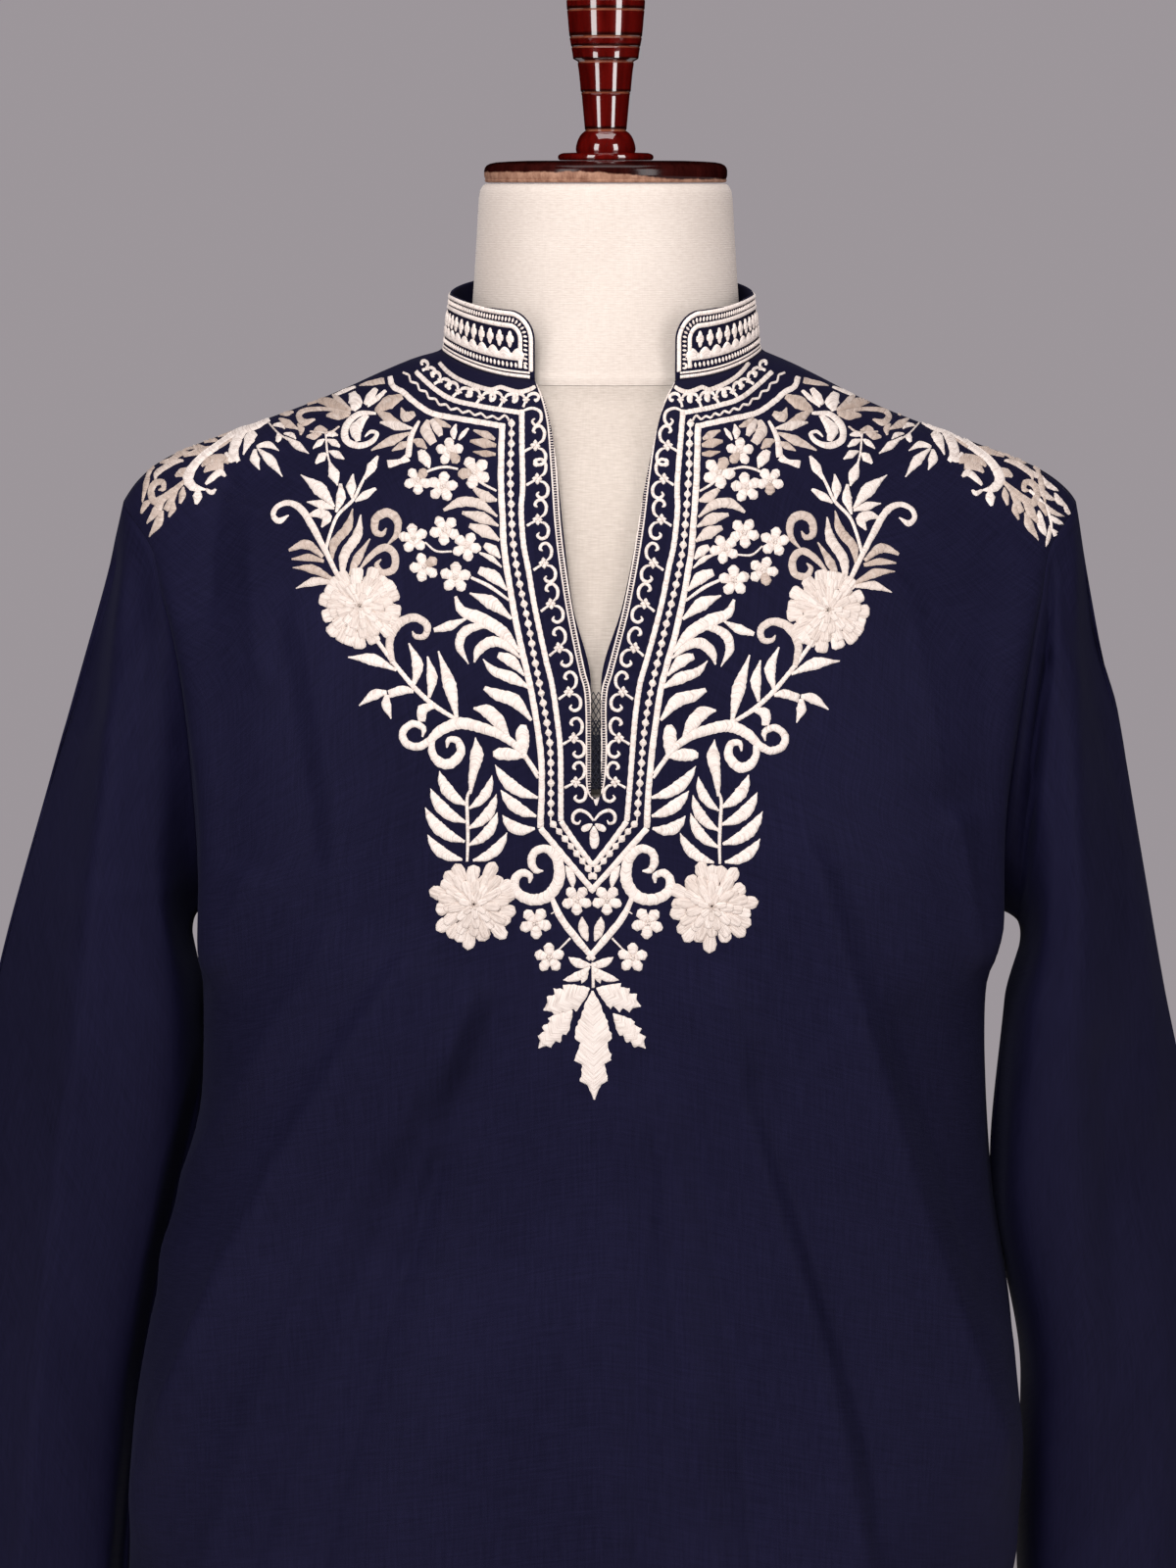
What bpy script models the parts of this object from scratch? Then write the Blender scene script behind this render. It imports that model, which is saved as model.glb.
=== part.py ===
"""Kurta, filled out on a limbless dress form.

Metres, +Z up.  The front faces -Y, the wearer's left is +X.  The origin is on
the floor, under the middle of the round foot.

Every cloth piece is a wall WALL thick.  Its middle surface is worked out from
the size tables below, sewn edges share their points, and each piece stops
half of GAP short of the seam line.
"""
import math

import bpy
from mathutils import Vector, kdtree

for _old in list(bpy.data.objects):
    bpy.data.objects.remove(_old, do_unlink=True)

# ------------------------------------------------------------------ sizes
WALL = 0.0012            # cloth wall
GAP = 0.0003             # between sewn pieces
HEM_Z = 0.480            # lower edge of the body
VENT_TOP_Z = 0.740       # top of the side vents
VENT_SPREAD = 0.006      # each vent edge stands this far from the side line
UNDERARM_Z = 1.235       # foot of the armhole
SLIT_FOOT_Z = 1.3015     # foot of the neck slit
NECK_SIDE_X = 0.0750     # where the shoulder seam meets the collar
NECK_SIDE_Z = 1.5005
NECK_FRONT_X = 0.0326    # front end of the collar
NECK_FRONT_Z = 1.4890
NECK_BACK_Z = 1.5110     # neckline at the centre back
NECK_DEPTH = 0.0737      # how far the neckline reaches, front and back
TIP_Z = 1.4285           # shoulder tip
FORM_X = 0.0028          # the neck block stands this far to +X
COLLAR_H = 0.0320        # collar height at its front ends
COLLAR_H_SIDE = 0.0275   # and at the sides and back
COLLAR_CORNER = 0.0135   # radius of its rounded front ends
COLLAR_LEAN = 0.0040     # how far the top edge leans in at sides and back
COLLAR_TILT = 0.140      # the neckline drops this much per metre towards the front
ARCH = 0.240             # drop over which the shoulder arch reaches full depth
ARCH_CURVE = 2.2
CUFF_Z = 0.850
SLEEVE_TOP_Z = 1.190     # first full ring of the sleeve tube
SLEEVE_TILT = 0.12       # rings of the sleeve stand across its slant

COLS = 12                # columns in half a body panel
ROWS_LOW = 13            # hem to underarm
ROWS_SLIT = 7            # underarm to collar end
ROWS_NECK = 6            # collar end to shoulder seam
ROWS_CAP = 5             # armhole to first full sleeve ring
ROWS_TUBE = 8
TURN = 32                # sides of turned wood

FRONT, BACK = -1, 1
SPLIT = Vector((0.11, 0.37, 1.0))
POWER = {FRONT: 0.62, BACK: 0.45}    # how sharply each side leaves the shoulder line


class Table:
    """A short table of sizes, read between its rows along a smooth curve."""

    def __init__(self, names, rows):
        self.names = names.split()
        self.rows = rows

    def at(self, key, name):
        c = self.names.index(name)
        rows = self.rows
        if key <= rows[0][0]:
            return rows[0][c]
        if key >= rows[-1][0]:
            return rows[-1][c]
        i = max(k for k in range(len(rows) - 1) if rows[k][0] <= key)

        def slope(k):
            if k == 0 or k == len(rows) - 1:
                a, b = (0, 1) if k == 0 else (k - 1, k)
                return (rows[b][c] - rows[a][c]) / (rows[b][0] - rows[a][0])
            lo = (rows[k][c] - rows[k - 1][c]) / (rows[k][0] - rows[k - 1][0])
            hi = (rows[k + 1][c] - rows[k][c]) / (rows[k + 1][0] - rows[k][0])
            return 0.0 if lo * hi <= 0 else 2 * lo * hi / (lo + hi)

        h = rows[i + 1][0] - rows[i][0]
        u = (key - rows[i][0]) / h
        return ((2 * u ** 3 - 3 * u ** 2 + 1) * rows[i][c]
                + (u ** 3 - 2 * u ** 2 + u) * h * slope(i)
                + (3 * u ** 2 - 2 * u ** 3) * rows[i + 1][c]
                + (u ** 3 - u ** 2) * h * slope(i + 1))


# Body sections: half widths on the -X and +X side, depths, and squareness.
# Above the underarm the width is where the section would close without sleeves.
BODY = Table("z w_minus w_plus front back sq_front sq_back", [
    (0.480, 0.2400, 0.2200, 0.160, 0.150, 2.2, 2.2),
    (0.640, 0.2360, 0.2140, 0.153, 0.143, 2.2, 2.2),
    (0.800, 0.2310, 0.2050, 0.145, 0.134, 2.2, 2.2),
    (0.908, 0.2280, 0.1990, 0.139, 0.128, 2.2, 2.2),
    (0.971, 0.2260, 0.2020, 0.136, 0.125, 2.3, 2.3),
    (1.033, 0.2170, 0.1990, 0.133, 0.121, 2.4, 2.4),
    (1.102, 0.1940, 0.1890, 0.131, 0.118, 2.6, 2.5),
    (1.150, 0.1880, 0.1855, 0.132, 0.117, 2.9, 2.6),
    (1.193, 0.1880, 0.1840, 0.134, 0.117, 3.1, 2.8),
    (1.235, 0.1900, 0.1890, 0.136, 0.118, 3.3, 3.0),
    (1.270, 0.1915, 0.1915, 0.136, 0.119, 3.4, 3.1),
    (1.300, 0.1945, 0.1960, 0.136, 0.120, 3.4, 3.2),
    (1.340, 0.2005, 0.2040, 0.1355, 0.120, 3.4, 3.2),
    (1.378, 0.2095, 0.2135, 0.135, 0.120, 3.4, 3.2),
    (1.408, 0.2225, 0.2240, 0.135, 0.120, 3.4, 3.2),
    (1.4285, 0.2415, 0.2415, 0.135, 0.120, 3.4, 3.2),
    (1.560, 0.3300, 0.3300, 0.135, 0.120, 3.4, 3.2),
])

# Height of the shoulder line.  Inside the neckline it is only a guide.
# The +X shoulder sits a little lower.
RIDGE = Table("x front back lower", [
    (0.0000, 1.5260, 1.5400, 0.0000),
    (0.0326, 1.5210, 1.5335, 0.0000),
    (0.0500, 1.5145, 1.5240, 0.0000),
    (0.0650, 1.5065, 1.5110, 0.0000),
    (0.0750, 1.5005, 1.5005, 0.0000),
    (0.0900, 1.4960, 1.4960, 0.0018),
    (0.1050, 1.4900, 1.4900, 0.0030),
    (0.1200, 1.4830, 1.4830, 0.0036),
    (0.1400, 1.4745, 1.4745, 0.0038),
    (0.1600, 1.4672, 1.4672, 0.0040),
    (0.1800, 1.4600, 1.4600, 0.0042),
    (0.2000, 1.4522, 1.4522, 0.0040),
    (0.2100, 1.4470, 1.4470, 0.0034),
    (0.2200, 1.4385, 1.4385, 0.0018),
    (0.2270, 1.4285, 1.4285, 0.0000),
    (0.2400, 1.4000, 1.4000, 0.0000),
])

# The armhole, from the underarm (0) to the shoulder tip (1): its place round
# the section in degrees, and how far it is down the shoulder arch (0 on top).
ARMHOLE = Table("f turn arch", [
    (0.000, 90.0, 0.921),
    (0.193, 83.7, 0.812),
    (0.366, 78.5, 0.658),
    (0.515, 74.1, 0.4875),
    (0.661, 69.7, 0.319),
    (0.802, 67.3, 0.169),
    (0.906, 66.9, 0.0646),
    (1.000, 67.3, 0.000),
])

# Half width of the neck slit.
SLIT = Table("z half", [
    (1.3035, 0.0022),
    (1.3530, 0.0022),
    (1.3886, 0.01125),
    (1.4209, 0.0167),
    (1.4403, 0.0194),
    (1.4659, 0.0239),
    (1.4778, 0.0270),
    (1.4890, 0.0326),
])
SLIT_ROWS_Z = (SLIT_FOOT_Z, 1.3035, 1.353, 1.3886, 1.421, 1.452, 1.478, NECK_FRONT_Z)

# Height of the front neckline against its distance from the middle.
NECKLINE = Table("x z", [
    (0.0326, 1.4890),
    (0.0450, 1.4902),
    (0.0550, 1.4922),
    (0.0650, 1.4955),
    (0.0715, 1.4985),
    (0.0750, 1.5005),
])

SWAY = Table("z x", [
    (1.150, 0.0000),
    (1.300, -0.0020),
    (1.350, -0.0020),
    (1.430, 0.0003),
    (1.489, 0.0023),
    (1.5005, 0.0012),
])

# The largest folds, each along three points (degrees round the section, height).
ARC_PER_DEGREE = 0.0029
FOLDS = [
    # side, half, turn a, z a, turn b, z b, turn c, z c, half width, height
    (FRONT, -1, 64, 1.385, 65, 1.300, 68, 1.225, 0.018, 0.0060),
    (FRONT, 1, 63, 1.385, 66, 1.300, 70, 1.235, 0.018, 0.0055),
    (FRONT, -1, 24, 1.195, 48, 1.105, 70, 0.955, 0.026, 0.0060),
    (FRONT, 1, 34, 1.180, 56, 1.070, 72, 0.930, 0.026, 0.0060),
    (FRONT, -1, 30, 0.860, 34, 0.680, 36, 0.480, 0.040, 0.0070),
    (FRONT, 1, 22, 0.880, 26, 0.690, 28, 0.480, 0.040, 0.0070),
    (FRONT, 1, 62, 0.820, 62, 0.680, 60, 0.480, 0.036, 0.0060),
    (BACK, -1, 66, 1.385, 67, 1.300, 70, 1.230, 0.018, 0.0045),
    (BACK, 1, 66, 1.385, 67, 1.300, 70, 1.230, 0.018, 0.0045),
    (BACK, -1, 28, 1.190, 46, 1.080, 62, 0.900, 0.028, 0.0055),
    (BACK, 1, 24, 1.170, 44, 1.060, 64, 0.900, 0.028, 0.0055),
    (BACK, -1, 20, 0.860, 24, 0.690, 26, 0.480, 0.040, 0.0070),
    (BACK, 1, 46, 0.860, 50, 0.690, 52, 0.480, 0.040, 0.0070),
]

# Sleeve rings: centre, half widths, for the -X and the +X sleeve.
SLEEVE = {
    -1: Table("z cx cy hx hy", [
        (0.850, 0.2890, 0.046, 0.0490, 0.050),
        (0.908, 0.2860, 0.045, 0.0540, 0.054),
        (1.000, 0.2785, 0.038, 0.0540, 0.060),
        (1.104, 0.2570, 0.024, 0.0575, 0.066),
        (1.190, 0.2410, 0.010, 0.0500, 0.072),
        (1.235, 0.2380, 0.004, 0.0420, 0.078),
    ]),
    1: Table("z cx cy hx hy", [
        (0.850, 0.2620, 0.046, 0.0470, 0.050),
        (0.908, 0.2610, 0.046, 0.0530, 0.054),
        (1.000, 0.2600, 0.038, 0.0520, 0.060),
        (1.104, 0.2405, 0.022, 0.0490, 0.068),
        (1.190, 0.2340, 0.008, 0.0370, 0.076),
        (1.235, 0.2325, 0.004, 0.0305, 0.080),
    ]),
}

# Dress form sections under the cloth.
FORM = Table("z w front back", [
    (0.770, 0.160, 0.094, 0.092),
    (0.800, 0.170, 0.104, 0.102),
    (0.900, 0.177, 0.112, 0.110),
    (1.000, 0.172, 0.112, 0.102),
    (1.100, 0.166, 0.110, 0.096),
    (1.200, 0.172, 0.120, 0.102),
    (1.300, 0.176, 0.126, 0.110),
    (1.400, 0.188, 0.127, 0.112),
    (1.440, 0.205, 0.127, 0.112),
    (1.500, 0.220, 0.127, 0.112),
])
FORM_TOP_Z = 1.4870
FORM_BOTTOM_Z = 0.7700
FORM_INSET = 0.0045      # below the shoulder line
FORM_RINGS_Z = (1.487, 1.478, 1.466, 1.452, 1.436, 1.418, 1.395, 1.36, 1.31,
                1.25, 1.19, 1.12, 1.05, 0.98, 0.91, 0.85, 0.80, 0.775, 0.770)


def mix(a, b, u):
    return a + (b - a) * u


def smooth(u):
    u = min(1.0, max(0.0, u))
    return u * u * (3 - 2 * u)


# ------------------------------------------------------------ body surface
def width(sx, z):
    return BODY.at(z, "w_plus" if sx > 0 else "w_minus")


def ridge(side, x):
    z = RIDGE.at(abs(x), "front" if side == FRONT else "back")
    return z - (RIDGE.at(abs(x), "lower") if x > 0 else 0.0)


def depth(side, x, z):
    """How far the cloth stands from the side line, at a point of the front view."""
    sx = 1 if x >= 0 else -1
    sq = BODY.at(z, "sq_front" if side == FRONT else "sq_back")
    across = max(0.0, 1 - (abs(x) / width(sx, z)) ** sq) ** (1 / sq)
    t = min(1.0, max(0.0, (ridge(side, x) - z) / ARCH))
    arch = (1 - (1 - t) ** ARCH_CURVE) ** POWER[side]
    return BODY.at(z, "front" if side == FRONT else "back") * across * arch


def turn_of(sx, x, z):
    return math.asin(min(1.0, (abs(x) / width(sx, z)) ** 1.3))


def x_at(sx, turn, z):
    return width(sx, z) * math.sin(turn) ** (1 / 1.3)


def solve(side, sx, turn, arch):
    """Front view point at a turn round the section and a place on the arch."""
    z = 1.40
    for _ in range(60):
        x = x_at(sx, turn, z)
        z = 0.5 * z + 0.5 * (ridge(side, sx * x) - ARCH * arch)
    return x_at(sx, turn, z), z


def armhole(side, sx, f):
    """(turn, z) of the armhole line."""
    turn = math.radians(ARMHOLE.at(f, "turn"))
    if f <= 0:
        return turn, UNDERARM_Z
    if f >= 1:
        return turn, TIP_Z
    x, z = solve(side, sx, turn, ARMHOLE.at(f, "arch"))
    return turn, mix(UNDERARM_Z, z, smooth(f / 0.07))


def inner_line(side, j):
    """Centre line, slit edge and neckline of half a panel, row by row."""
    if j <= ROWS_LOW:
        foot = SLIT_FOOT_Z if side == FRONT else 1.290
        return 0.0, mix(HEM_Z, foot, j / ROWS_LOW)
    k = j - ROWS_LOW
    if k <= ROWS_SLIT:
        if side == FRONT:
            z = SLIT_ROWS_Z[k]
            return SLIT.at(z, "half"), z
        return 0.0, mix(1.290, NECK_BACK_Z, k / ROWS_SLIT)
    u = (k - ROWS_SLIT) / ROWS_NECK
    if side == FRONT:
        start = math.asin(NECK_FRONT_X / NECK_SIDE_X)
        x = NECK_SIDE_X * math.sin(mix(start, math.pi / 2, u))
        return x, NECKLINE.at(x, "z")
    x = NECK_SIDE_X * math.sin(u * math.pi / 2)
    return x, NECK_SIDE_Z + (NECK_BACK_Z - NECK_SIDE_Z) * math.cos(u * math.pi / 2)


def arch_of(side, x, z):
    return max(0.0, (ridge(side, x) - z) / ARCH)


def sway(x, z):
    """The neck and slit lean a little: to +X at the collar, to -X at the foot."""
    lean = SWAY.at(z, "x") * smooth(1.25 * (1 - x / 0.17))
    return lean


def fold_height(side, sx, turn, z):
    """Large folds: how far they lift the cloth out of its plain surface."""
    total = 0.0
    here = (math.degrees(turn) * ARC_PER_DEGREE, z)
    for f_side, f_sx, ta, za, tb, zb, tc, zc, half, height in FOLDS:
        if f_side != side or f_sx != sx:
            continue
        path = [(t * ARC_PER_DEGREE, zz) for t, zz in ((ta, za), (tb, zb), (tc, zc))]
        near = 1.0
        for (ax, az), (bx, bz) in zip(path, path[1:]):
            lx, lz = bx - ax, bz - az
            k = ((here[0] - ax) * lx + (here[1] - az) * lz) / (lx * lx + lz * lz)
            k = min(1.0, max(0.0, k))
            near = min(near, math.hypot(here[0] - ax - k * lx, here[1] - az - k * lz))
        total += height * math.exp(-(near / half) ** 2)
    return total


def neck_ease(side, j):
    """How far the neckline and slit edge stand proud of the plain surface."""
    corner = ROWS_LOW + ROWS_SLIT
    if j <= ROWS_LOW:
        return 0.0
    x, z = inner_line(side, max(j, corner))
    ease = NECK_DEPTH * math.sqrt(max(0.0, 1 - (x / NECK_SIDE_X) ** 2)) - depth(side, -x, z)
    if j < corner:
        ease *= smooth((inner_line(side, j)[1] - 1.43) / 0.058)
    return ease


def panel_point(side, sx, i, j):
    """Middle surface of half a panel: column i from the centre, row j from the hem."""
    rows = ROWS_LOW + ROWS_SLIT + ROWS_NECK
    u = i / COLS
    xi, zi = inner_line(side, j)
    turn_in = turn_of(sx, xi, zi)
    if j <= ROWS_LOW:
        turn_out, zo = math.pi / 2, mix(HEM_Z, UNDERARM_Z, j / ROWS_LOW)
    else:
        turn_out, zo = armhole(side, sx, (j - ROWS_LOW) / (rows - ROWS_LOW))
    xo = x_at(sx, turn_out, zo)
    turn = mix(turn_in, turn_out, u)
    flat = mix(zi, zo, 1 - (1 - u) ** 1.8)
    if i == 0:
        x, z = xi, zi
    elif i == COLS:
        x, z = xo, zo
    else:
        q = POWER[FRONT if j == rows else side]
        arch = mix(arch_of(side, sx * xi, zi) ** q, arch_of(side, sx * xo, zo) ** q, u) ** (1 / q)
        share = smooth((j - ROWS_LOW) / (rows - ROWS_LOW))
        z = flat
        for _ in range(60):
            x = x_at(sx, turn, z)
            goal = mix(flat, ridge(side, sx * x) - ARCH * arch, share) if share else flat
            z = 0.5 * z + 0.5 * goal
        x = x_at(sx, turn, z)
    if j == rows:
        y = 0.0
        z = ridge(FRONT, sx * x) if 0 < i < COLS else z
    elif i == COLS and j <= ROWS_LOW:
        y = 0.0
        if z < VENT_TOP_Z - 1e-6:
            y = side * VENT_SPREAD * smooth((VENT_TOP_Z - z) / 0.12)
    else:
        y = side * (depth(side, sx * x, z) + neck_ease(side, j) * (1 - u) ** 2)
        out = fold_height(side, sx, turn, z)
        out *= smooth(turn / 0.22) * smooth((math.pi / 2 - turn) / 0.2)
        out *= smooth(arch_of(side, sx * x, z) / 0.12)
        sq = BODY.at(z, "sq_front" if side == FRONT else "sq_back")
        w = width(sx, z)
        d = BODY.at(z, "front" if side == FRONT else "back")
        nx = (x / w) ** (sq - 1) / w
        ny = (min(1.0, abs(y) / d)) ** (sq - 1) / d
        size = math.hypot(nx, ny) or 1.0
        x += out * nx / size
        y += side * out * ny / size
    return Vector((sx * x + sway(x, z), y, z))


# ------------------------------------------------------------------ meshes
def grid(rows):
    """Points and quads of a grid given as rows of points."""
    pts, quads, n = [], [], len(rows[0])
    for row in rows:
        pts.extend(row)
    for j in range(len(rows) - 1):
        for i in range(n - 1):
            a = j * n + i
            quads.append((a, a + 1, a + n + 1, a + n))
    return pts, quads


def joined(parts):
    """One mesh from several grids, with the points that meet made one."""
    pts, quads = [], []
    for p, q in parts:
        off = len(pts)
        pts.extend(p)
        quads.extend(tuple(k + off for k in face) for face in q)
    tree = kdtree.KDTree(len(pts))
    for k, p in enumerate(pts):
        tree.insert(p, k)
    tree.balance()
    first = [min(hit[1] for hit in tree.find_range(p, 2e-5)) for p in pts]
    used = sorted(set(first))
    new = {k: n for n, k in enumerate(used)}
    faces = []
    for face in quads:
        ring = []
        for k in face:
            m = new[first[k]]
            if m not in ring:
                ring.append(m)
        if len(ring) > 2:
            faces.append(tuple(ring))
    return [pts[k] for k in used], faces


def face_normal(pts, face):
    n = Vector((0, 0, 0))
    for k in range(len(face)):
        n += pts[face[k]].cross(pts[face[(k + 1) % len(face)]])
    return n * 0.5


def facing_out(mesh, centre):
    """Turn all faces the same way, away from centre(z)."""
    pts, faces = mesh
    total = 0.0
    for face in faces:
        mid = sum((pts[k] for k in face), Vector()) / len(face)
        total += face_normal(pts, face).dot(mid - centre(mid))
    if total < 0:
        faces = [tuple(reversed(f)) for f in faces]
    return pts, faces


def seam_normals(meshes):
    """Normals of each mesh's points, shared where sewn pieces meet."""
    total = sum(len(m[0]) for m in meshes)
    tree = kdtree.KDTree(total)
    k = 0
    own = []
    for pts, faces in meshes:
        normals = [Vector((0, 0, 0)) for _ in pts]
        for face in faces:
            n = face_normal(pts, face)
            for v in face:
                normals[v] += n
        for p, n in zip(pts, normals):
            tree.insert(p, k)
            own.append(n)
            k += 1
    tree.balance()
    out, k = [], 0
    for pts, _faces in meshes:
        shared = []
        for p in pts:
            n = Vector((0, 0, 0))
            for _co, other, _d in tree.find_range(p, 2e-5):
                n += own[other].normalized()
            shared.append(n.normalized())
            k += 1
        out.append(shared)
    return out


def wall(mesh, normals, thickness):
    """A closed wall round a middle surface, its edges drawn in by half a gap."""
    pts, faces = mesh
    count = {}
    for face in faces:
        for k in range(len(face)):
            a, b = face[k], face[(k + 1) % len(face)]
            count[frozenset((a, b))] = count.get(frozenset((a, b)), 0) + 1
    edges = []
    for face in faces:
        for k in range(len(face)):
            a, b = face[k], face[(k + 1) % len(face)]
            if count[frozenset((a, b))] == 1:
                edges.append((a, b, face))
    pull = {}
    for a, b, face in edges:
        along = (pts[b] - pts[a]).normalized()
        mid = sum((pts[k] for k in face), Vector()) / len(face)
        inward = mid - pts[a]
        inward -= along * inward.dot(along)
        inward.normalize()
        for v in (a, b):
            pull.setdefault(v, []).append(inward)
    moved = []
    for v, p in enumerate(pts):
        if v in pull:
            d = sum(pull[v], Vector())
            if len(pull[v]) > 1:
                d = d.normalized()
                cosine = max(0.35, d.dot(pull[v][0]))
                d = d / cosine
            p = p + d * (GAP / 2)
        moved.append(p)
    half = thickness / 2
    n = len(pts)
    verts = [p + m * half for p, m in zip(moved, normals)]
    verts += [p - m * half for p, m in zip(moved, normals)]
    solid = list(faces)
    solid += [tuple(v + n for v in reversed(face)) for face in faces]
    for a, b, _face in edges:
        # Both pieces at a seam split their end faces along the same diagonal.
        if pts[a].dot(SPLIT) > pts[b].dot(SPLIT):
            solid += [(b, a, b + n), (a, a + n, b + n)]
        else:
            solid += [(b, a, a + n), (b, a + n, b + n)]
    return verts, solid


def lathe(profile, centre=(0.0, 0.0), sides=TURN):
    """A turned solid from (radius, height) rows, bottom to top."""
    verts, faces = [], []
    for r, z in profile:
        for k in range(sides):
            a = 2 * math.pi * (k + 0.5) / sides
            verts.append(Vector((centre[0] + r * math.cos(a), centre[1] + r * math.sin(a), z)))
    for j in range(len(profile) - 1):
        for k in range(sides):
            a, b = j * sides + k, j * sides + (k + 1) % sides
            faces.append((a, b, b + sides, a + sides))
    faces.append(tuple(reversed(range(sides))))
    last = (len(profile) - 1) * sides
    faces.append(tuple(range(last, last + sides)))
    return verts, faces


def material(name, colour, roughness, metallic=0.0):
    mat = bpy.data.materials.new(name)
    mat.use_nodes = True
    shader = mat.node_tree.nodes["Principled BSDF"]
    shader.inputs["Base Color"].default_value = (*colour, 1.0)
    shader.inputs["Roughness"].default_value = roughness
    shader.inputs["Metallic"].default_value = metallic
    mat.diffuse_color = (*colour, 1.0)
    return mat


def place(name, verts, faces, mat, shade=True):
    mesh = bpy.data.meshes.new(name)
    mesh.from_pydata([tuple(v) for v in verts], [], faces)
    mesh.update()
    mesh.materials.append(mat)
    if shade:
        mesh.shade_smooth()
        mesh.set_sharp_from_angle(angle=math.radians(40))
    ob = bpy.data.objects.new(name, mesh)
    bpy.context.scene.collection.objects.link(ob)
    return ob


# ---------------------------------------------------------- the cloth pieces
def body_panel(side):
    halves = []
    rows = ROWS_LOW + ROWS_SLIT + ROWS_NECK
    for sx in (-1, 1):
        halves.append(grid([[panel_point(side, sx, i, j) for i in range(COLS + 1)]
                            for j in range(rows + 1)]))
        if sx < 0:
            halves[-1] = (halves[-1][0], [tuple(reversed(f)) for f in halves[-1][1]])
    return facing_out(joined(halves), lambda p: Vector((0, 0, p.z)))


def sleeve_ring(sx, z, count):
    t = SLEEVE[sx]
    cx, cy, hx, hy = (t.at(z, c) for c in ("cx", "cy", "hx", "hy"))
    ring = []
    for k in range(count):
        a = 2 * math.pi * k / count
        dx = hx * math.cos(a)
        ring.append(Vector((sx * (cx + dx), cy - hy * math.sin(a), z + SLEEVE_TILT * dx)))
    return ring


# How steeply the sleeve leaves the armhole: outward share at the shoulder tip
# and at the underarm, and how far the underarm runs out before it drops.
LEAVE = {-1: (0.22, 0.86, 1.0), 1: (0.18, 0.98, 1.7)}


def sleeve(sx):
    rows = ROWS_LOW + ROWS_SLIT + ROWS_NECK
    down = [panel_point(FRONT, sx, COLS, j) for j in range(rows, ROWS_LOW - 1, -1)]
    up = [panel_point(BACK, sx, COLS, j) for j in range(ROWS_LOW + 1, rows)]
    loop = down + up
    count = len(loop)
    first = sleeve_ring(sx, SLEEVE_TOP_Z, count)
    below = sleeve_ring(sx, SLEEVE_TOP_Z - 0.01, count)
    rings = [loop]
    for r in range(1, ROWS_CAP + 1):
        u = r / ROWS_CAP
        ring = []
        for k in range(count):
            a = 2 * math.pi * k / count
            under = math.sin(a / 2) ** 2
            reach = (first[k] - loop[k]).length
            out = mix(LEAVE[sx][0], LEAVE[sx][1], under)
            leave = Vector((sx * out, -0.15 * math.sin(a), -math.sqrt(1 - out * out)))
            arrive = (below[k] - first[k]).normalized()
            ring.append(loop[k] * (2 * u ** 3 - 3 * u ** 2 + 1)
                        + leave * reach * mix(1, LEAVE[sx][2], under ** 4) * (u ** 3 - 2 * u ** 2 + u)
                        + first[k] * (3 * u ** 2 - 2 * u ** 3)
                        + arrive * reach * (u ** 3 - u ** 2))
        rings.append(ring)
    for r in range(1, ROWS_TUBE + 1):
        rings.append(sleeve_ring(sx, mix(SLEEVE_TOP_Z, CUFF_Z, r / ROWS_TUBE), count))
    rings = [ring + ring[:1] for ring in rings]
    table = SLEEVE[sx]
    return facing_out(joined([grid(rings)]),
                      lambda p: Vector((sx * table.at(p.z, "cx"), table.at(p.z, "cy"), p.z)))


def neck_loop():
    """The neckline from the -X collar end, round the back, to the +X one."""
    rows = ROWS_LOW + ROWS_SLIT + ROWS_NECK
    foot = ROWS_LOW + ROWS_SLIT
    left = [panel_point(FRONT, -1, 0, j) for j in range(foot, rows + 1)]
    back_left = [panel_point(BACK, -1, 0, j) for j in range(rows - 1, foot, -1)]
    back_right = [panel_point(BACK, 1, 0, j) for j in range(foot, rows)]
    right = [panel_point(FRONT, 1, 0, j) for j in range(rows, foot - 1, -1)]
    return left + back_left + back_right + right


def collar():
    loop = neck_loop()
    run = [0.0]
    for a, b in zip(loop, loop[1:]):
        run.append(run[-1] + (b - a).length)
    total = run[-1]

    def along(s):
        s = min(total, max(0.0, s))
        k = max(n for n in range(len(run) - 1) if run[n] <= s)
        return loop[k].lerp(loop[k + 1], (s - run[k]) / (run[k + 1] - run[k]))

    up = Vector((0, -COLLAR_TILT, 1)).normalized()
    rows = []
    for h in (0.0, 0.0095, COLLAR_H - COLLAR_CORNER, 0.0255, COLLAR_H):
        row = []
        for k, s in enumerate(run):
            end = min(s, total - s)
            tall = mix(COLLAR_H, COLLAR_H_SIDE, smooth(end / 0.085)) / COLLAR_H
            hh = h
            if end < COLLAR_CORNER and h > COLLAR_H - COLLAR_CORNER:
                u = (COLLAR_CORNER - end) / COLLAR_CORNER
                v = (h - COLLAR_H + COLLAR_CORNER) / COLLAR_CORNER
                end = COLLAR_CORNER * (1 - u * math.sqrt(1 - v * v / 2))
                hh = COLLAR_H - COLLAR_CORNER * (1 - v * math.sqrt(1 - u * u / 2))
            base = loop[k] if h == 0 else along(end if s < total / 2 else total - end)
            inward = -Vector((base.x, base.y, 0)).normalized()
            lean = COLLAR_LEAN * smooth(end / 0.070)
            row.append(base + (up * hh + inward * lean * hh / COLLAR_H) * tall)
        rows.append(row)
    return facing_out(joined([grid(rows)]), lambda p: Vector((0, 0, p.z)))


def slit_net():
    rows = []
    for z in (1.3052, 1.320, 1.336, 1.3515):
        y, x = -depth(FRONT, 0.0, z), sway(0.0, z)
        rows.append([Vector((x - 0.0019, y, z)), Vector((x + 0.0019, y, z))])
    return facing_out(joined([grid(rows)]), lambda p: Vector((0, 0, p.z)))


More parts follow.
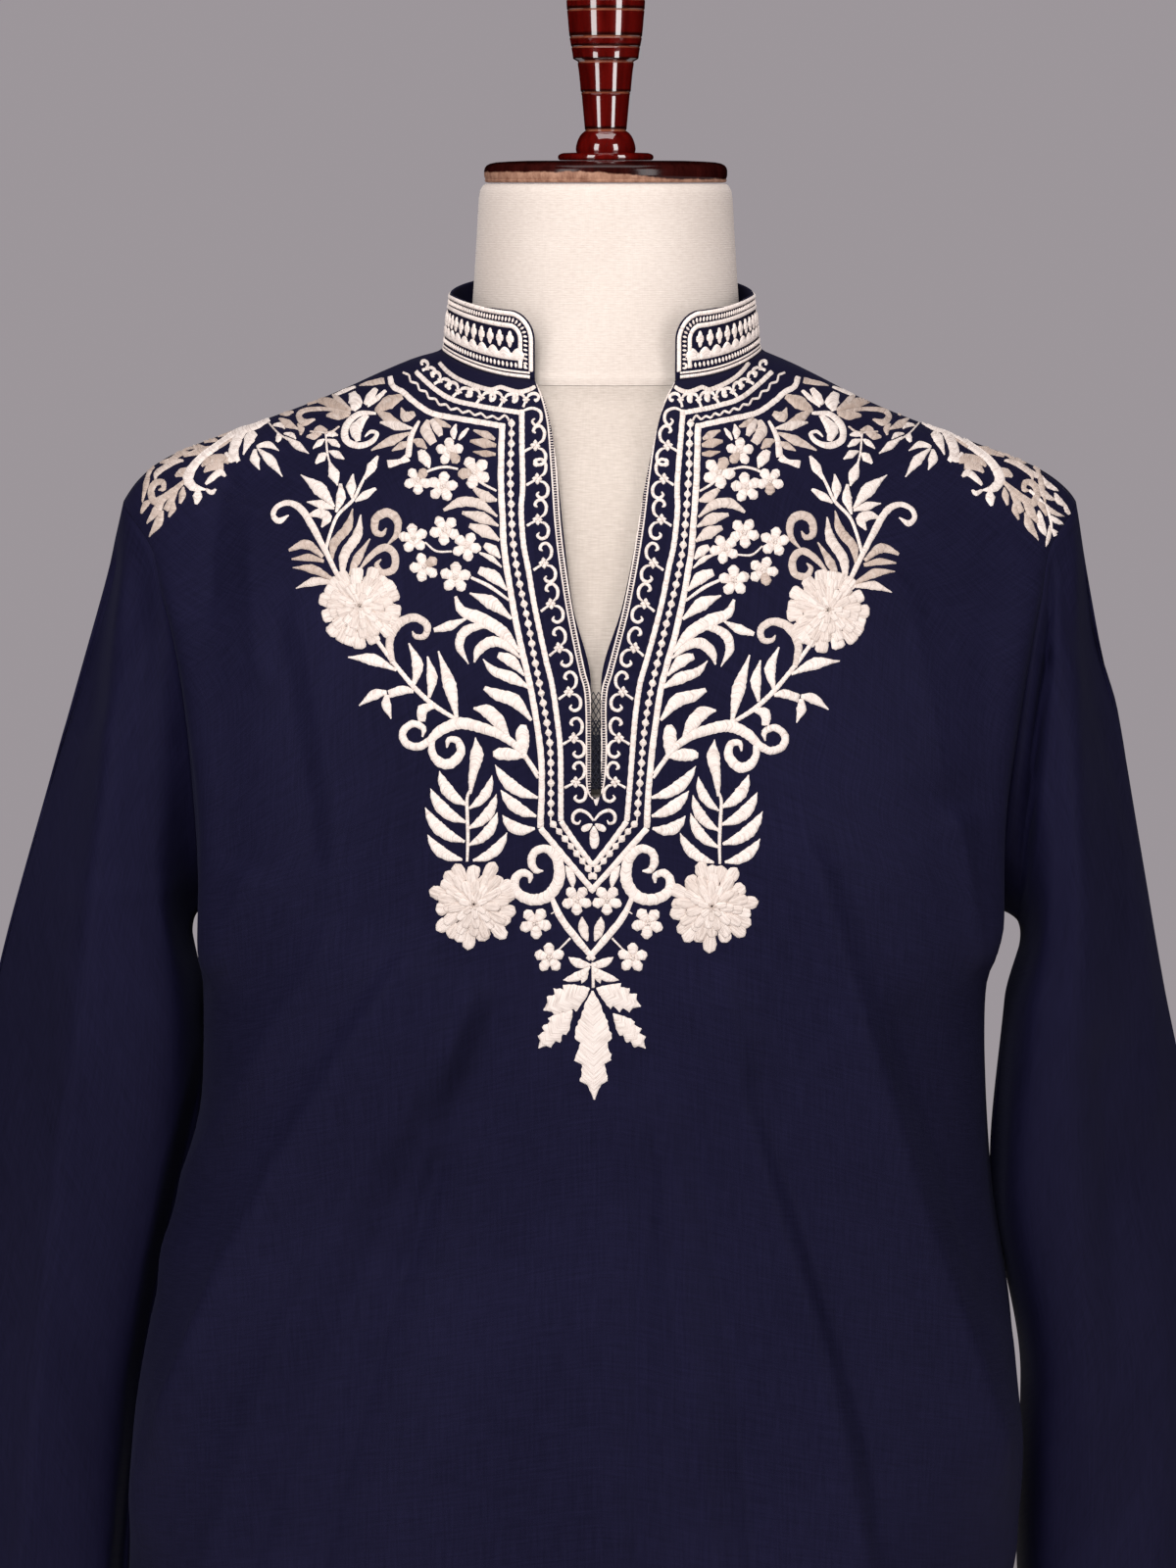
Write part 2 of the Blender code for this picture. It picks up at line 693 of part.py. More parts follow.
# ------------------------------------------------------------ the dress form
def form_depth(side, x, z):
    name = "front" if side == FRONT else "back"
    w = FORM.at(z, "w")
    if abs(x) >= w:
        return 0.0
    across = (1 - (abs(x) / w) ** 2.6) ** (1 / 2.6)
    t = min(1.0, max(0.0, (ridge(side, x) - FORM_INSET - z) / ARCH))
    return FORM.at(z, name) * across * (1 - (1 - t) ** ARCH_CURVE) ** POWER[side]


def form_torso(sides=28):
    verts, faces = [], []
    for z in FORM_RINGS_Z:
        for k in range(sides):
            a = 2 * math.pi * k / sides
            cx, sy = math.cos(a), math.sin(a)
            side = FRONT if sy < 0 else BACK
            lo, hi = 0.0, 0.30
            for _ in range(40):
                r = (lo + hi) / 2
                if abs(r * sy) + 1e-6 < form_depth(side, r * cx, z):
                    lo = r
                else:
                    hi = r
            verts.append(Vector((lo * cx, lo * sy, z)))
    rings = len(FORM_RINGS_Z)
    for j in range(rings - 1):
        for k in range(sides):
            a, b = j * sides + k, j * sides + (k + 1) % sides
            faces.append((a + sides, b + sides, b, a))
    faces.append(tuple(range(sides)))
    last = (rings - 1) * sides
    faces.append(tuple(reversed(range(last, last + sides))))
    return verts, faces


NECK_PROFILE = [(0.0665, 1.4873), (0.0650, 1.503), (0.0630, 1.5275), (0.0613, 1.555),
                (0.0603, 1.572), (0.0594, 1.5770), (0.0572, 1.5797)]
CAP_PROFILE = [(0.0560, 1.5800), (0.0572, 1.5812), (0.0576, 1.5835), (0.0576, 1.5860),
               (0.0562, 1.5882), (0.0530, 1.5896), (0.0400, 1.5904)]
FINIAL_PROFILE = [(0.0218, 1.5907), (0.0226, 1.5917), (0.0226, 1.5930), (0.0205, 1.5940),
                  (0.0144, 1.5942), (0.0143, 1.5955), (0.0128, 1.5990), (0.0105, 1.6025),
                  (0.0098, 1.6045), (0.0112, 1.6186), (0.0118, 1.6228), (0.0134, 1.6372),
                  (0.0155, 1.6382), (0.0163, 1.6435), (0.0170, 1.6479), (0.0172, 1.6488),
                  (0.0183, 1.6600), (0.0187, 1.6660), (0.0192, 1.6760), (0.0186, 1.6850),
                  (0.0166, 1.6940), (0.0130, 1.7015), (0.0080, 1.7065), (0.0030, 1.7082)]
PLATE_PROFILE = [(0.052, 0.7560), (0.055, 0.7590), (0.055, 0.7697)]
POLE_PROFILE = [(0.0150, 0.0603), (0.0150, 0.7557)]
BASE_PROFILE = [(0.186, 0.0), (0.190, 0.004), (0.190, 0.018), (0.184, 0.0255),
                (0.060, 0.0300), (0.034, 0.0340), (0.028, 0.0420), (0.027, 0.0560),
                (0.024, 0.0600)]


def build():
    navy = material("navy_cloth", (0.012, 0.011, 0.032), 0.62)
    net = material("net_cloth", (0.010, 0.010, 0.020), 0.75)
    linen = material("form_linen", (0.76, 0.68, 0.58), 0.85)
    wood = material("turned_wood", (0.16, 0.025, 0.018), 0.18)

    meshes = {
        "kurta_front": body_panel(FRONT),
        "kurta_back": body_panel(BACK),
        "sleeve_r": sleeve(-1),
        "sleeve_l": sleeve(1),
        "collar_band": collar(),
    }
    names = list(meshes)
    normals = seam_normals([meshes[n] for n in names])
    for name, normal in zip(names, normals):
        verts, faces = wall(meshes[name], normal, WALL)
        place(name, verts, faces, navy)
    strip = slit_net()
    verts, faces = wall(strip, seam_normals([strip])[0], 0.0010)
    place("slit_net", verts, faces, net)

    place("form_torso", *form_torso(), linen)
    top = (FORM_X, 0.0)
    place("form_neck", *lathe(NECK_PROFILE, top), linen)
    place("neck_cap", *lathe(CAP_PROFILE, top), wood)
    place("finial", *lathe(FINIAL_PROFILE, top, sides=24), wood)
    place("form_plate", *lathe(PLATE_PROFILE), wood)
    place("stand_pole", *lathe(POLE_PROFILE), wood)
    place("stand_base", *lathe(BASE_PROFILE, sides=48), wood)


build()
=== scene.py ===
"""Looks for the kurta on its dress form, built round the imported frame."""
import math

import bpy
import numpy as np
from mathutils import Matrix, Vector
from mathutils.bvhtree import BVHTree


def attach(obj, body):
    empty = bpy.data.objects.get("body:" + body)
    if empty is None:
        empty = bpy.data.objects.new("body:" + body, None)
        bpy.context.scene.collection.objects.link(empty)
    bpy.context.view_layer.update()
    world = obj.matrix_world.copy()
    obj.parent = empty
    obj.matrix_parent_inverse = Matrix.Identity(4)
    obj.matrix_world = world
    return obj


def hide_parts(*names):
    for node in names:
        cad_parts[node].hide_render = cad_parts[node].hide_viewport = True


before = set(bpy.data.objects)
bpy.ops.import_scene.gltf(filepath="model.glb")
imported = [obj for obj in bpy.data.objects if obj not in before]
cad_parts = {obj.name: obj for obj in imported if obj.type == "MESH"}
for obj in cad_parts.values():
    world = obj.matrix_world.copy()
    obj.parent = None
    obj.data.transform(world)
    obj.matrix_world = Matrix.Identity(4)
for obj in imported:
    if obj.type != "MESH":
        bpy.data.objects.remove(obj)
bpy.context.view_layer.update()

# ------------------------------------------------------------------ sizes
WALL = 0.0012
HEM_Z = 0.480
VENT_TOP_Z = 0.740
VENT_SPREAD = 0.006
UNDERARM_Z = 1.235
SLIT_FOOT_Z = 1.3015
NECK_SIDE_X = 0.0750
NECK_SIDE_Z = 1.5005
NECK_FRONT_X = 0.0326
NECK_FRONT_Z = 1.4890
NECK_BACK_Z = 1.5110
NECK_DEPTH = 0.0737
TIP_Z = 1.4285
FORM_X = 0.0028
COLLAR_H = 0.0320
COLLAR_H_SIDE = 0.0275
COLLAR_CORNER = 0.0135
COLLAR_LEAN = 0.0040
COLLAR_TILT = 0.140
ARCH = 0.240
ARCH_CURVE = 2.2
CUFF_Z = 0.850
SLEEVE_TOP_Z = 1.190
SLEEVE_TILT = 0.12
LOW, SLITS, NECKS = 13, 7, 6         # the CAD panel's rows, the unit of row numbers here
ROWS = LOW + SLITS + NECKS
FRONT, BACK = -1, 1
POWER = {FRONT: 0.62, BACK: 0.45}


class Table:
    """A short table of sizes, read between its rows along a smooth curve."""

    def __init__(self, names, rows):
        rows = np.array(rows, float)
        x = rows[:, 0]
        self.k = np.concatenate([np.linspace(a, b, 32, endpoint=False)
                                 for a, b in zip(x, x[1:])] + [x[-1:]])
        self.c = {}
        for n, name in enumerate(names.split()):
            if n:
                self.c[name] = self.curve(x, rows[:, n])

    @staticmethod
    def curve(x, y):
        h = np.diff(x)
        d = np.diff(y) / h
        m = np.zeros(len(x))
        m[0], m[-1] = d[0], d[-1]
        for i in range(1, len(x) - 1):
            lo, hi = d[i - 1], d[i]
            m[i] = 0.0 if lo * hi <= 0 else 2 * lo * hi / (lo + hi)
        u = np.linspace(0, 1, 32, endpoint=False)
        out = []
        for i in range(len(h)):
            out.append((2 * u ** 3 - 3 * u ** 2 + 1) * y[i] + (u ** 3 - 2 * u ** 2 + u) * h[i] * m[i]
                       + (3 * u ** 2 - 2 * u ** 3) * y[i + 1] + (u ** 3 - u ** 2) * h[i] * m[i + 1])
        return np.concatenate(out + [y[-1:]])

    def at(self, key, name):
        return np.interp(key, self.k, self.c[name])


BODY = Table("z w_minus w_plus front back sq_front sq_back", [
    (0.480, 0.2400, 0.2200, 0.160, 0.150, 2.2, 2.2),
    (0.640, 0.2360, 0.2140, 0.153, 0.143, 2.2, 2.2),
    (0.800, 0.2310, 0.2050, 0.145, 0.134, 2.2, 2.2),
    (0.908, 0.2280, 0.1990, 0.139, 0.128, 2.2, 2.2),
    (0.971, 0.2260, 0.2020, 0.136, 0.125, 2.3, 2.3),
    (1.033, 0.2170, 0.1990, 0.133, 0.121, 2.4, 2.4),
    (1.102, 0.1940, 0.1890, 0.131, 0.118, 2.6, 2.5),
    (1.150, 0.1880, 0.1855, 0.132, 0.117, 2.9, 2.6),
    (1.193, 0.1880, 0.1840, 0.134, 0.117, 3.1, 2.8),
    (1.235, 0.1900, 0.1890, 0.136, 0.118, 3.3, 3.0),
    (1.270, 0.1915, 0.1915, 0.136, 0.119, 3.4, 3.1),
    (1.300, 0.1945, 0.1960, 0.136, 0.120, 3.4, 3.2),
    (1.340, 0.2005, 0.2040, 0.1355, 0.120, 3.4, 3.2),
    (1.378, 0.2095, 0.2135, 0.135, 0.120, 3.4, 3.2),
    (1.408, 0.2225, 0.2240, 0.135, 0.120, 3.4, 3.2),
    (1.4285, 0.2415, 0.2415, 0.135, 0.120, 3.4, 3.2),
    (1.560, 0.3300, 0.3300, 0.135, 0.120, 3.4, 3.2),
])
RIDGE = Table("x front back lower", [
    (0.0000, 1.5260, 1.5400, 0.0000),
    (0.0326, 1.5210, 1.5335, 0.0000),
    (0.0500, 1.5145, 1.5240, 0.0000),
    (0.0650, 1.5065, 1.5110, 0.0000),
    (0.0750, 1.5005, 1.5005, 0.0000),
    (0.0900, 1.4960, 1.4960, 0.0018),
    (0.1050, 1.4900, 1.4900, 0.0030),
    (0.1200, 1.4830, 1.4830, 0.0036),
    (0.1400, 1.4745, 1.4745, 0.0038),
    (0.1600, 1.4672, 1.4672, 0.0040),
    (0.1800, 1.4600, 1.4600, 0.0042),
    (0.2000, 1.4522, 1.4522, 0.0040),
    (0.2100, 1.4470, 1.4470, 0.0034),
    (0.2200, 1.4385, 1.4385, 0.0018),
    (0.2270, 1.4285, 1.4285, 0.0000),
    (0.2400, 1.4000, 1.4000, 0.0000),
])
ARMHOLE = Table("f turn arch", [
    (0.000, 90.0, 0.921),
    (0.193, 83.7, 0.812),
    (0.366, 78.5, 0.658),
    (0.515, 74.1, 0.4875),
    (0.661, 69.7, 0.319),
    (0.802, 67.3, 0.169),
    (0.906, 66.9, 0.0646),
    (1.000, 67.3, 0.000),
])
SLIT = Table("z half", [
    (1.3035, 0.0022),
    (1.3530, 0.0022),
    (1.3886, 0.01125),
    (1.4209, 0.0167),
    (1.4403, 0.0194),
    (1.4659, 0.0239),
    (1.4778, 0.0270),
    (1.4890, 0.0326),
])
SLIT_ROW = Table("k z", list(enumerate(
    (SLIT_FOOT_Z, 1.3035, 1.353, 1.3886, 1.421, 1.452, 1.478, NECK_FRONT_Z))))
NECKLINE = Table("x z", [
    (0.0326, 1.4890),
    (0.0450, 1.4902),
    (0.0550, 1.4922),
    (0.0650, 1.4955),
    (0.0715, 1.4985),
    (0.0750, 1.5005),
])
SWAY = Table("z x", [
    (1.150, 0.0000),
    (1.300, -0.0020),
    (1.350, -0.0020),
    (1.430, 0.0003),
    (1.489, 0.0023),
    (1.5005, 0.0012),
])
ARC_PER_DEGREE = 0.0029
FOLDS = [
    # side, half, turn a, z a, turn b, z b, turn c, z c, half width, height
    (FRONT, -1, 64, 1.385, 65, 1.300, 68, 1.225, 0.018, 0.0060),
    (FRONT, 1, 63, 1.385, 66, 1.300, 70, 1.235, 0.018, 0.0055),
    (FRONT, -1, 24, 1.195, 48, 1.105, 70, 0.955, 0.026, 0.0060),
    (FRONT, 1, 34, 1.180, 56, 1.070, 72, 0.930, 0.026, 0.0060),
    (FRONT, -1, 30, 0.860, 34, 0.680, 36, 0.480, 0.040, 0.0070),
    (FRONT, 1, 22, 0.880, 26, 0.690, 28, 0.480, 0.040, 0.0070),
    (FRONT, 1, 62, 0.820, 62, 0.680, 60, 0.480, 0.036, 0.0060),
    (BACK, -1, 66, 1.385, 67, 1.300, 70, 1.230, 0.018, 0.0045),
    (BACK, 1, 66, 1.385, 67, 1.300, 70, 1.230, 0.018, 0.0045),
    (BACK, -1, 28, 1.190, 46, 1.080, 62, 0.900, 0.028, 0.0055),
    (BACK, 1, 24, 1.170, 44, 1.060, 64, 0.900, 0.028, 0.0055),
    (BACK, -1, 20, 0.860, 24, 0.690, 26, 0.480, 0.040, 0.0070),
    (BACK, 1, 46, 0.860, 50, 0.690, 52, 0.480, 0.040, 0.0070),
]
SLEEVE = {
    -1: Table("z cx cy hx hy", [
        (0.850, 0.2890, 0.046, 0.0490, 0.050),
        (0.908, 0.2860, 0.045, 0.0540, 0.054),
        (1.000, 0.2785, 0.038, 0.0540, 0.060),
        (1.104, 0.2570, 0.024, 0.0575, 0.066),
        (1.190, 0.2410, 0.010, 0.0500, 0.072),
        (1.235, 0.2380, 0.004, 0.0420, 0.078),
    ]),
    1: Table("z cx cy hx hy", [
        (0.850, 0.2620, 0.046, 0.0470, 0.050),
        (0.908, 0.2610, 0.046, 0.0530, 0.054),
        (1.000, 0.2600, 0.038, 0.0520, 0.060),
        (1.104, 0.2405, 0.022, 0.0490, 0.068),
        (1.190, 0.2340, 0.008, 0.0370, 0.076),
        (1.235, 0.2325, 0.004, 0.0305, 0.080),
    ]),
}
LEAVE = {-1: (0.22, 0.86, 1.0), 1: (0.18, 0.98, 1.7)}
FORM = Table("z w front back", [
    (0.770, 0.160, 0.094, 0.092),
    (0.800, 0.170, 0.104, 0.102),
    (0.900, 0.177, 0.112, 0.110),
    (1.000, 0.172, 0.112, 0.102),
    (1.100, 0.166, 0.110, 0.096),
    (1.200, 0.172, 0.120, 0.102),
    (1.300, 0.176, 0.126, 0.110),
    (1.400, 0.188, 0.127, 0.112),
    (1.440, 0.205, 0.127, 0.112),
    (1.500, 0.220, 0.127, 0.112),
])


def mix(a, b, u):
    return a + (b - a) * u


def smooth(u):
    u = np.clip(u, 0.0, 1.0)
    return u * u * (3 - 2 * u)


# ------------------------------------------------------------ body surface
def width(sx, z):
    return BODY.at(z, "w_plus" if sx > 0 else "w_minus")


def ridge(side, x):
    z = RIDGE.at(np.abs(x), "front" if side == FRONT else "back")
    return z - np.where(x > 0, RIDGE.at(np.abs(x), "lower"), 0.0)


def depth(side, sx, x, z, arch_depth=None):
    sq = BODY.at(z, "sq_front" if side == FRONT else "sq_back")
    across = np.maximum(0.0, 1 - np.minimum(1.0, np.abs(x) / width(sx, z)) ** sq) ** (1 / sq)
    t = np.clip((ridge(side, x) - z) / ARCH, 0, 1)
    arch = (1 - (1 - t) ** ARCH_CURVE) ** POWER[side]
    return BODY.at(z, "front" if side == FRONT else "back") * across * arch


def turn_of(sx, x, z):
    return np.arcsin(np.minimum(1.0, (np.abs(x) / width(sx, z)) ** 1.3))


def x_at(sx, turn, z):
    return width(sx, z) * np.sin(turn) ** (1 / 1.3)


def arch_of(side, x, z):
    return np.maximum(0.0, (ridge(side, x) - z) / ARCH)


def armhole(side, sx, f):
    turn = np.radians(ARMHOLE.at(f, "turn"))
    arch = ARMHOLE.at(f, "arch")
    z = np.full_like(turn, 1.40)
    for _ in range(60):
        z = 0.5 * z + 0.5 * (ridge(side, sx * x_at(sx, turn, z)) - ARCH * arch)
    z = mix(UNDERARM_Z, z, smooth(f / 0.07))
    return turn, np.where(f >= 1, TIP_Z, z)


def inner_line(side, j):
    """Centre line, slit edge and neckline of half a panel, by row number."""
    foot = SLIT_FOOT_Z if side == FRONT else 1.290
    low = mix(HEM_Z, foot, j / LOW)
    k = np.clip(j - LOW, 0, SLITS)
    u = np.clip((j - LOW - SLITS) / NECKS, 0, 1)
    if side == FRONT:
        z1 = SLIT_ROW.at(k, "z")
        x1 = SLIT.at(z1, "half")
        start = math.asin(NECK_FRONT_X / NECK_SIDE_X)
        x2 = NECK_SIDE_X * np.sin(mix(start, math.pi / 2, u))
        z2 = NECKLINE.at(x2, "z")
    else:
        z1 = mix(1.290, NECK_BACK_Z, k / SLITS)
        x1 = 0.0 * z1
        x2 = NECK_SIDE_X * np.sin(u * math.pi / 2)
        z2 = NECK_SIDE_Z + (NECK_BACK_Z - NECK_SIDE_Z) * np.cos(u * math.pi / 2)
    x = np.where(j <= LOW, 0.0, np.where(j <= LOW + SLITS, x1, x2))
    z = np.where(j <= LOW, low, np.where(j <= LOW + SLITS, z1, z2))
    return x, z


def neck_ease(side, j):
    corner = LOW + SLITS
    x, z = inner_line(side, np.maximum(j, corner))
    ease = NECK_DEPTH * np.sqrt(np.maximum(0.0, 1 - (x / NECK_SIDE_X) ** 2)) - depth(side, -1, -x, z)
    ease = np.where(j < corner, ease * smooth((inner_line(side, j)[1] - 1.43) / 0.058), ease)
    return np.where(j <= LOW, 0.0, ease)


def sway(x, z):
    return SWAY.at(z, "x") * smooth(1.25 * (1 - x / 0.17))


def near_path(px, pz, path):
    """Distance to a broken line, and how far along it (0 to 1)."""
    best = np.full(np.shape(px), 9.0)
    where = np.zeros(np.shape(px))
    n = len(path) - 1
    for k, ((ax, az), (bx, bz)) in enumerate(zip(path, path[1:])):
        lx, lz = bx - ax, bz - az
        t = np.clip(((px - ax) * lx + (pz - az) * lz) / (lx * lx + lz * lz), 0, 1)
        d = np.hypot(px - ax - t * lx, pz - az - t * lz)
        where = np.where(d < best, (k + t) / n, where)
        best = np.minimum(best, d)
    return best, where


def fold_height(side, sx, turn, z):
    total = np.zeros_like(z)
    px = np.degrees(turn) * ARC_PER_DEGREE
    for f_side, f_sx, ta, za, tb, zb, tc, zc, half, height in FOLDS:
        if f_side == side and f_sx == sx:
            path = [(t * ARC_PER_DEGREE, zz) for t, zz in ((ta, za), (tb, zb), (tc, zc))]
            total += height * np.exp(-(near_path(px, z, path)[0] / half) ** 2)
    return total


def panel(side, sx, u, j):
    """Middle surface of half a panel at column share u and row number j (arrays of one shape)."""
    u, j = np.broadcast_arrays(u, j)
    xi, zi = inner_line(side, j)
    turn_in = turn_of(sx, xi, zi)
    t_arm, z_arm = armhole(side, sx, np.clip((j - LOW) / (ROWS - LOW), 0, 1))
    turn_out = np.where(j <= LOW, math.pi / 2, t_arm)
    zo = np.where(j <= LOW, mix(HEM_Z, UNDERARM_Z, j / LOW), z_arm)
    xo = x_at(sx, turn_out, zo)
    turn = mix(turn_in, turn_out, u)
    flat = mix(zi, zo, 1 - (1 - u) ** 1.8)
    q = POWER[side]
    arch = mix(arch_of(side, sx * xi, zi) ** q, arch_of(side, sx * xo, zo) ** q, u) ** (1 / q)
    share = smooth((j - LOW) / (ROWS - LOW))
    z = flat.copy()
    for _ in range(60):
        x = x_at(sx, turn, z)
        goal = mix(flat, ridge(side, sx * x) - ARCH * arch, share)
        z = 0.5 * z + 0.5 * goal
    x = x_at(sx, turn, z)
    first, last, top = u <= 0, u >= 1, j >= ROWS
    x = np.where(first, xi, np.where(last, xo, x))
    z = np.where(first, zi, np.where(last, zo, z))
    z = np.where(top & ~first & ~last, ridge(FRONT, sx * x), z)
    y = depth(side, sx, sx * x, z) + neck_ease(side, j) * (1 - u) ** 2
    y = np.where(last & (j <= LOW), 0.0, y)
    low = z < VENT_TOP_Z
    y = np.where(low, np.maximum(y, VENT_SPREAD * smooth((VENT_TOP_Z - z) / 0.12)), y)
    out = fold_height(side, sx, turn, z)
    out = out * smooth(turn / 0.22) * smooth((math.pi / 2 - turn) / 0.2)
    out = out * smooth(arch_of(side, sx * x, z) / 0.12)
    sq = BODY.at(z, "sq_front" if side == FRONT else "sq_back")
    w = width(sx, z)
    d = BODY.at(z, "front" if side == FRONT else "back")
    nx = np.minimum(1.0, x / w) ** (sq - 1) / w
    ny = np.minimum(1.0, np.abs(y) / d) ** (sq - 1) / d
    size = np.maximum(1e-9, np.hypot(nx, ny))
    out = np.where(top | (last & (j <= LOW)), 0.0, out)
    x = x + out * nx / size
    y = side * (y + out * ny / size)
    y = np.where(top, 0.0, y)
    return np.stack([sx * x + sway(x, z), y, z], -1), turn


# ------------------------------------------------------------------ meshes
def quads_of(rows, cols, wrap=False):
    j, i = np.meshgrid(np.arange(rows - 1), np.arange(cols if wrap else cols - 1), indexing="ij")
    a = j * cols + i
    b = j * cols + (i + 1) % cols
    return np.stack([a, b, b + cols, a + cols], -1).reshape(-1, 4)


def face_normals(v, f):
    p = v[f]
    return np.cross(p[:, 2] - p[:, 0], p[:, 3] - p[:, 1]) * 0.5


def vertex_normals(v, f):
    n = np.zeros_like(v)
    fn = face_normals(v, f)
    for k in range(f.shape[1]):
        np.add.at(n, f[:, k], fn)
    return n / np.maximum(1e-12, np.linalg.norm(n, axis=1))[:, None]


def merge(v, f, uv):
    key = np.round(v / 4e-6).astype(np.int64)
    _, first, inverse = np.unique(key, axis=0, return_index=True, return_inverse=True)
    inverse = inverse.reshape(-1)
    f = inverse[f]
    return v[first], f, uv[first]


def boundary(f):
    e = np.concatenate([f[:, [k, (k + 1) % 4]] for k in range(4)])
    e = e[e[:, 0] != e[:, 1]]
    key = np.sort(e, axis=1)
    _, inverse, count = np.unique(key, axis=0, return_inverse=True, return_counts=True)
    return e[count[inverse.reshape(-1)] == 1]


def new_object(name, v, faces, mats, uv=None, smooth_shade=True):
    mesh = bpy.data.meshes.new(name)
    mesh.from_pydata([tuple(p) for p in v], [], faces)
    mesh.validate(clean_customdata=False)
    mesh.update()
    for m in mats:
        mesh.materials.append(m)
    if uv is not None:
        layer = mesh.uv_layers.new(name="UVMap")
        index = np.zeros(len(mesh.loops), int)
        mesh.loops.foreach_get("vertex_index", index)
        layer.data.foreach_set("uv", np.asarray(uv, np.float32)[index].reshape(-1))
    if smooth_shade:
        mesh.shade_smooth()
    ob = bpy.data.objects.new(name, mesh)
    bpy.context.scene.collection.objects.link(ob)
    return ob


def faces_list(f):
    out = []
    for face in f.tolist():
        ring = []
        for k in face:
            if k not in ring:
                ring.append(k)
        if len(ring) > 2:
            out.append(ring)
    return out


GAP = 0.0003


def cloth_shell(name, v, f, uv, normals, mats, outer=0.0006, inner=-0.0004):
    """A closed thin shell round a middle surface, its edges drawn in by half a gap."""
    e = boundary(f)
    pull = np.zeros_like(v)
    centre = np.zeros_like(v)
    weight = np.zeros(len(v))
    mid = v[f].mean(1)
    for k in range(4):
        np.add.at(centre, f[:, k], mid)
        np.add.at(weight, f[:, k], 1.0)
    centre /= np.maximum(1, weight)[:, None]
    along = v[e[:, 1]] - v[e[:, 0]]
    along /= np.maximum(1e-12, np.linalg.norm(along, axis=1))[:, None]
    for end in (0, 1):
        inward = centre[e[:, end]] - v[e[:, end]]
        inward -= along * (inward * along).sum(1)[:, None]
        inward /= np.maximum(1e-12, np.linalg.norm(inward, axis=1))[:, None]
        np.add.at(pull, e[:, end], inward)
    size = np.linalg.norm(pull, axis=1)
    pull = np.where(size[:, None] > 1e-9, pull / np.maximum(1e-9, size)[:, None], 0) * GAP / 2
    v = v + pull
    n = len(v)
    verts = np.concatenate([v + normals * outer, v + normals * inner])
    faces = faces_list(f)
    faces += [[k + n for k in reversed(ring)] for ring in faces]
    faces += [[int(b), int(a), int(a) + n, int(b) + n] for a, b in e]
    return new_object(name, verts, faces, mats, np.concatenate([uv, uv]))


# ------------------------------------------------------------ cloth materials
class Nodes:
    """Shorthand for a material's node tree."""

    def __init__(self, name):
        self.mat = bpy.data.materials.new(name)
        self.mat.use_nodes = True
        self.tree = self.mat.node_tree
        self.shader = self.tree.nodes["Principled BSDF"]

    def add(self, kind, **inputs):
        node = self.tree.nodes.new(kind)
        for key, value in inputs.items():
            name = key.replace("_", " ")
            if name in node.inputs:
                self.put(node.inputs[name], value)
            else:
                setattr(node, key, value)
        return node

    def put(self, socket, value):
        if isinstance(value, bpy.types.NodeSocket):
            self.tree.links.new(value, socket)
        else:
            socket.default_value = value

    def math(self, op, a, b=0.0, c=0.0):
        node = self.add("ShaderNodeMath", operation=op)
        self.put(node.inputs[0], a)
        self.put(node.inputs[1], b)
        self.put(node.inputs[2], c)
        return node.outputs[0]

    def blend(self, factor, a, b):
        node = self.add("ShaderNodeMix", data_type="RGBA")
        self.put(node.inputs[0], factor)
        self.put(node.inputs[6], a)
        self.put(node.inputs[7], b)
        return node.outputs[2]

    def scaled(self, vector, x, y, z):
        node = self.add("ShaderNodeVectorMath", operation="MULTIPLY")
        self.put(node.inputs[0], vector)
        self.put(node.inputs[1], (x, y, z))
        return node.outputs[0]

    def noise(self, vector, scale, detail=2.0, rough=0.5):
        node = self.add("ShaderNodeTexNoise", Scale=scale, Detail=detail, Roughness=rough)
        self.put(node.inputs["Vector"], vector)
        return node.outputs[0]

    def remap(self, value, a, b, c, d):
        node = self.add("ShaderNodeMapRange")
        for k, x in enumerate((value, a, b, c, d)):
            self.put(node.inputs[k], x)
        return node.outputs[0]

    def bump(self, height, strength, distance, normal=None):
        node = self.add("ShaderNodeBump", Strength=strength, Distance=distance)
        self.put(node.inputs["Height"], height)
        if normal is not None:
            self.put(node.inputs["Normal"], normal)
        return node.outputs[0]


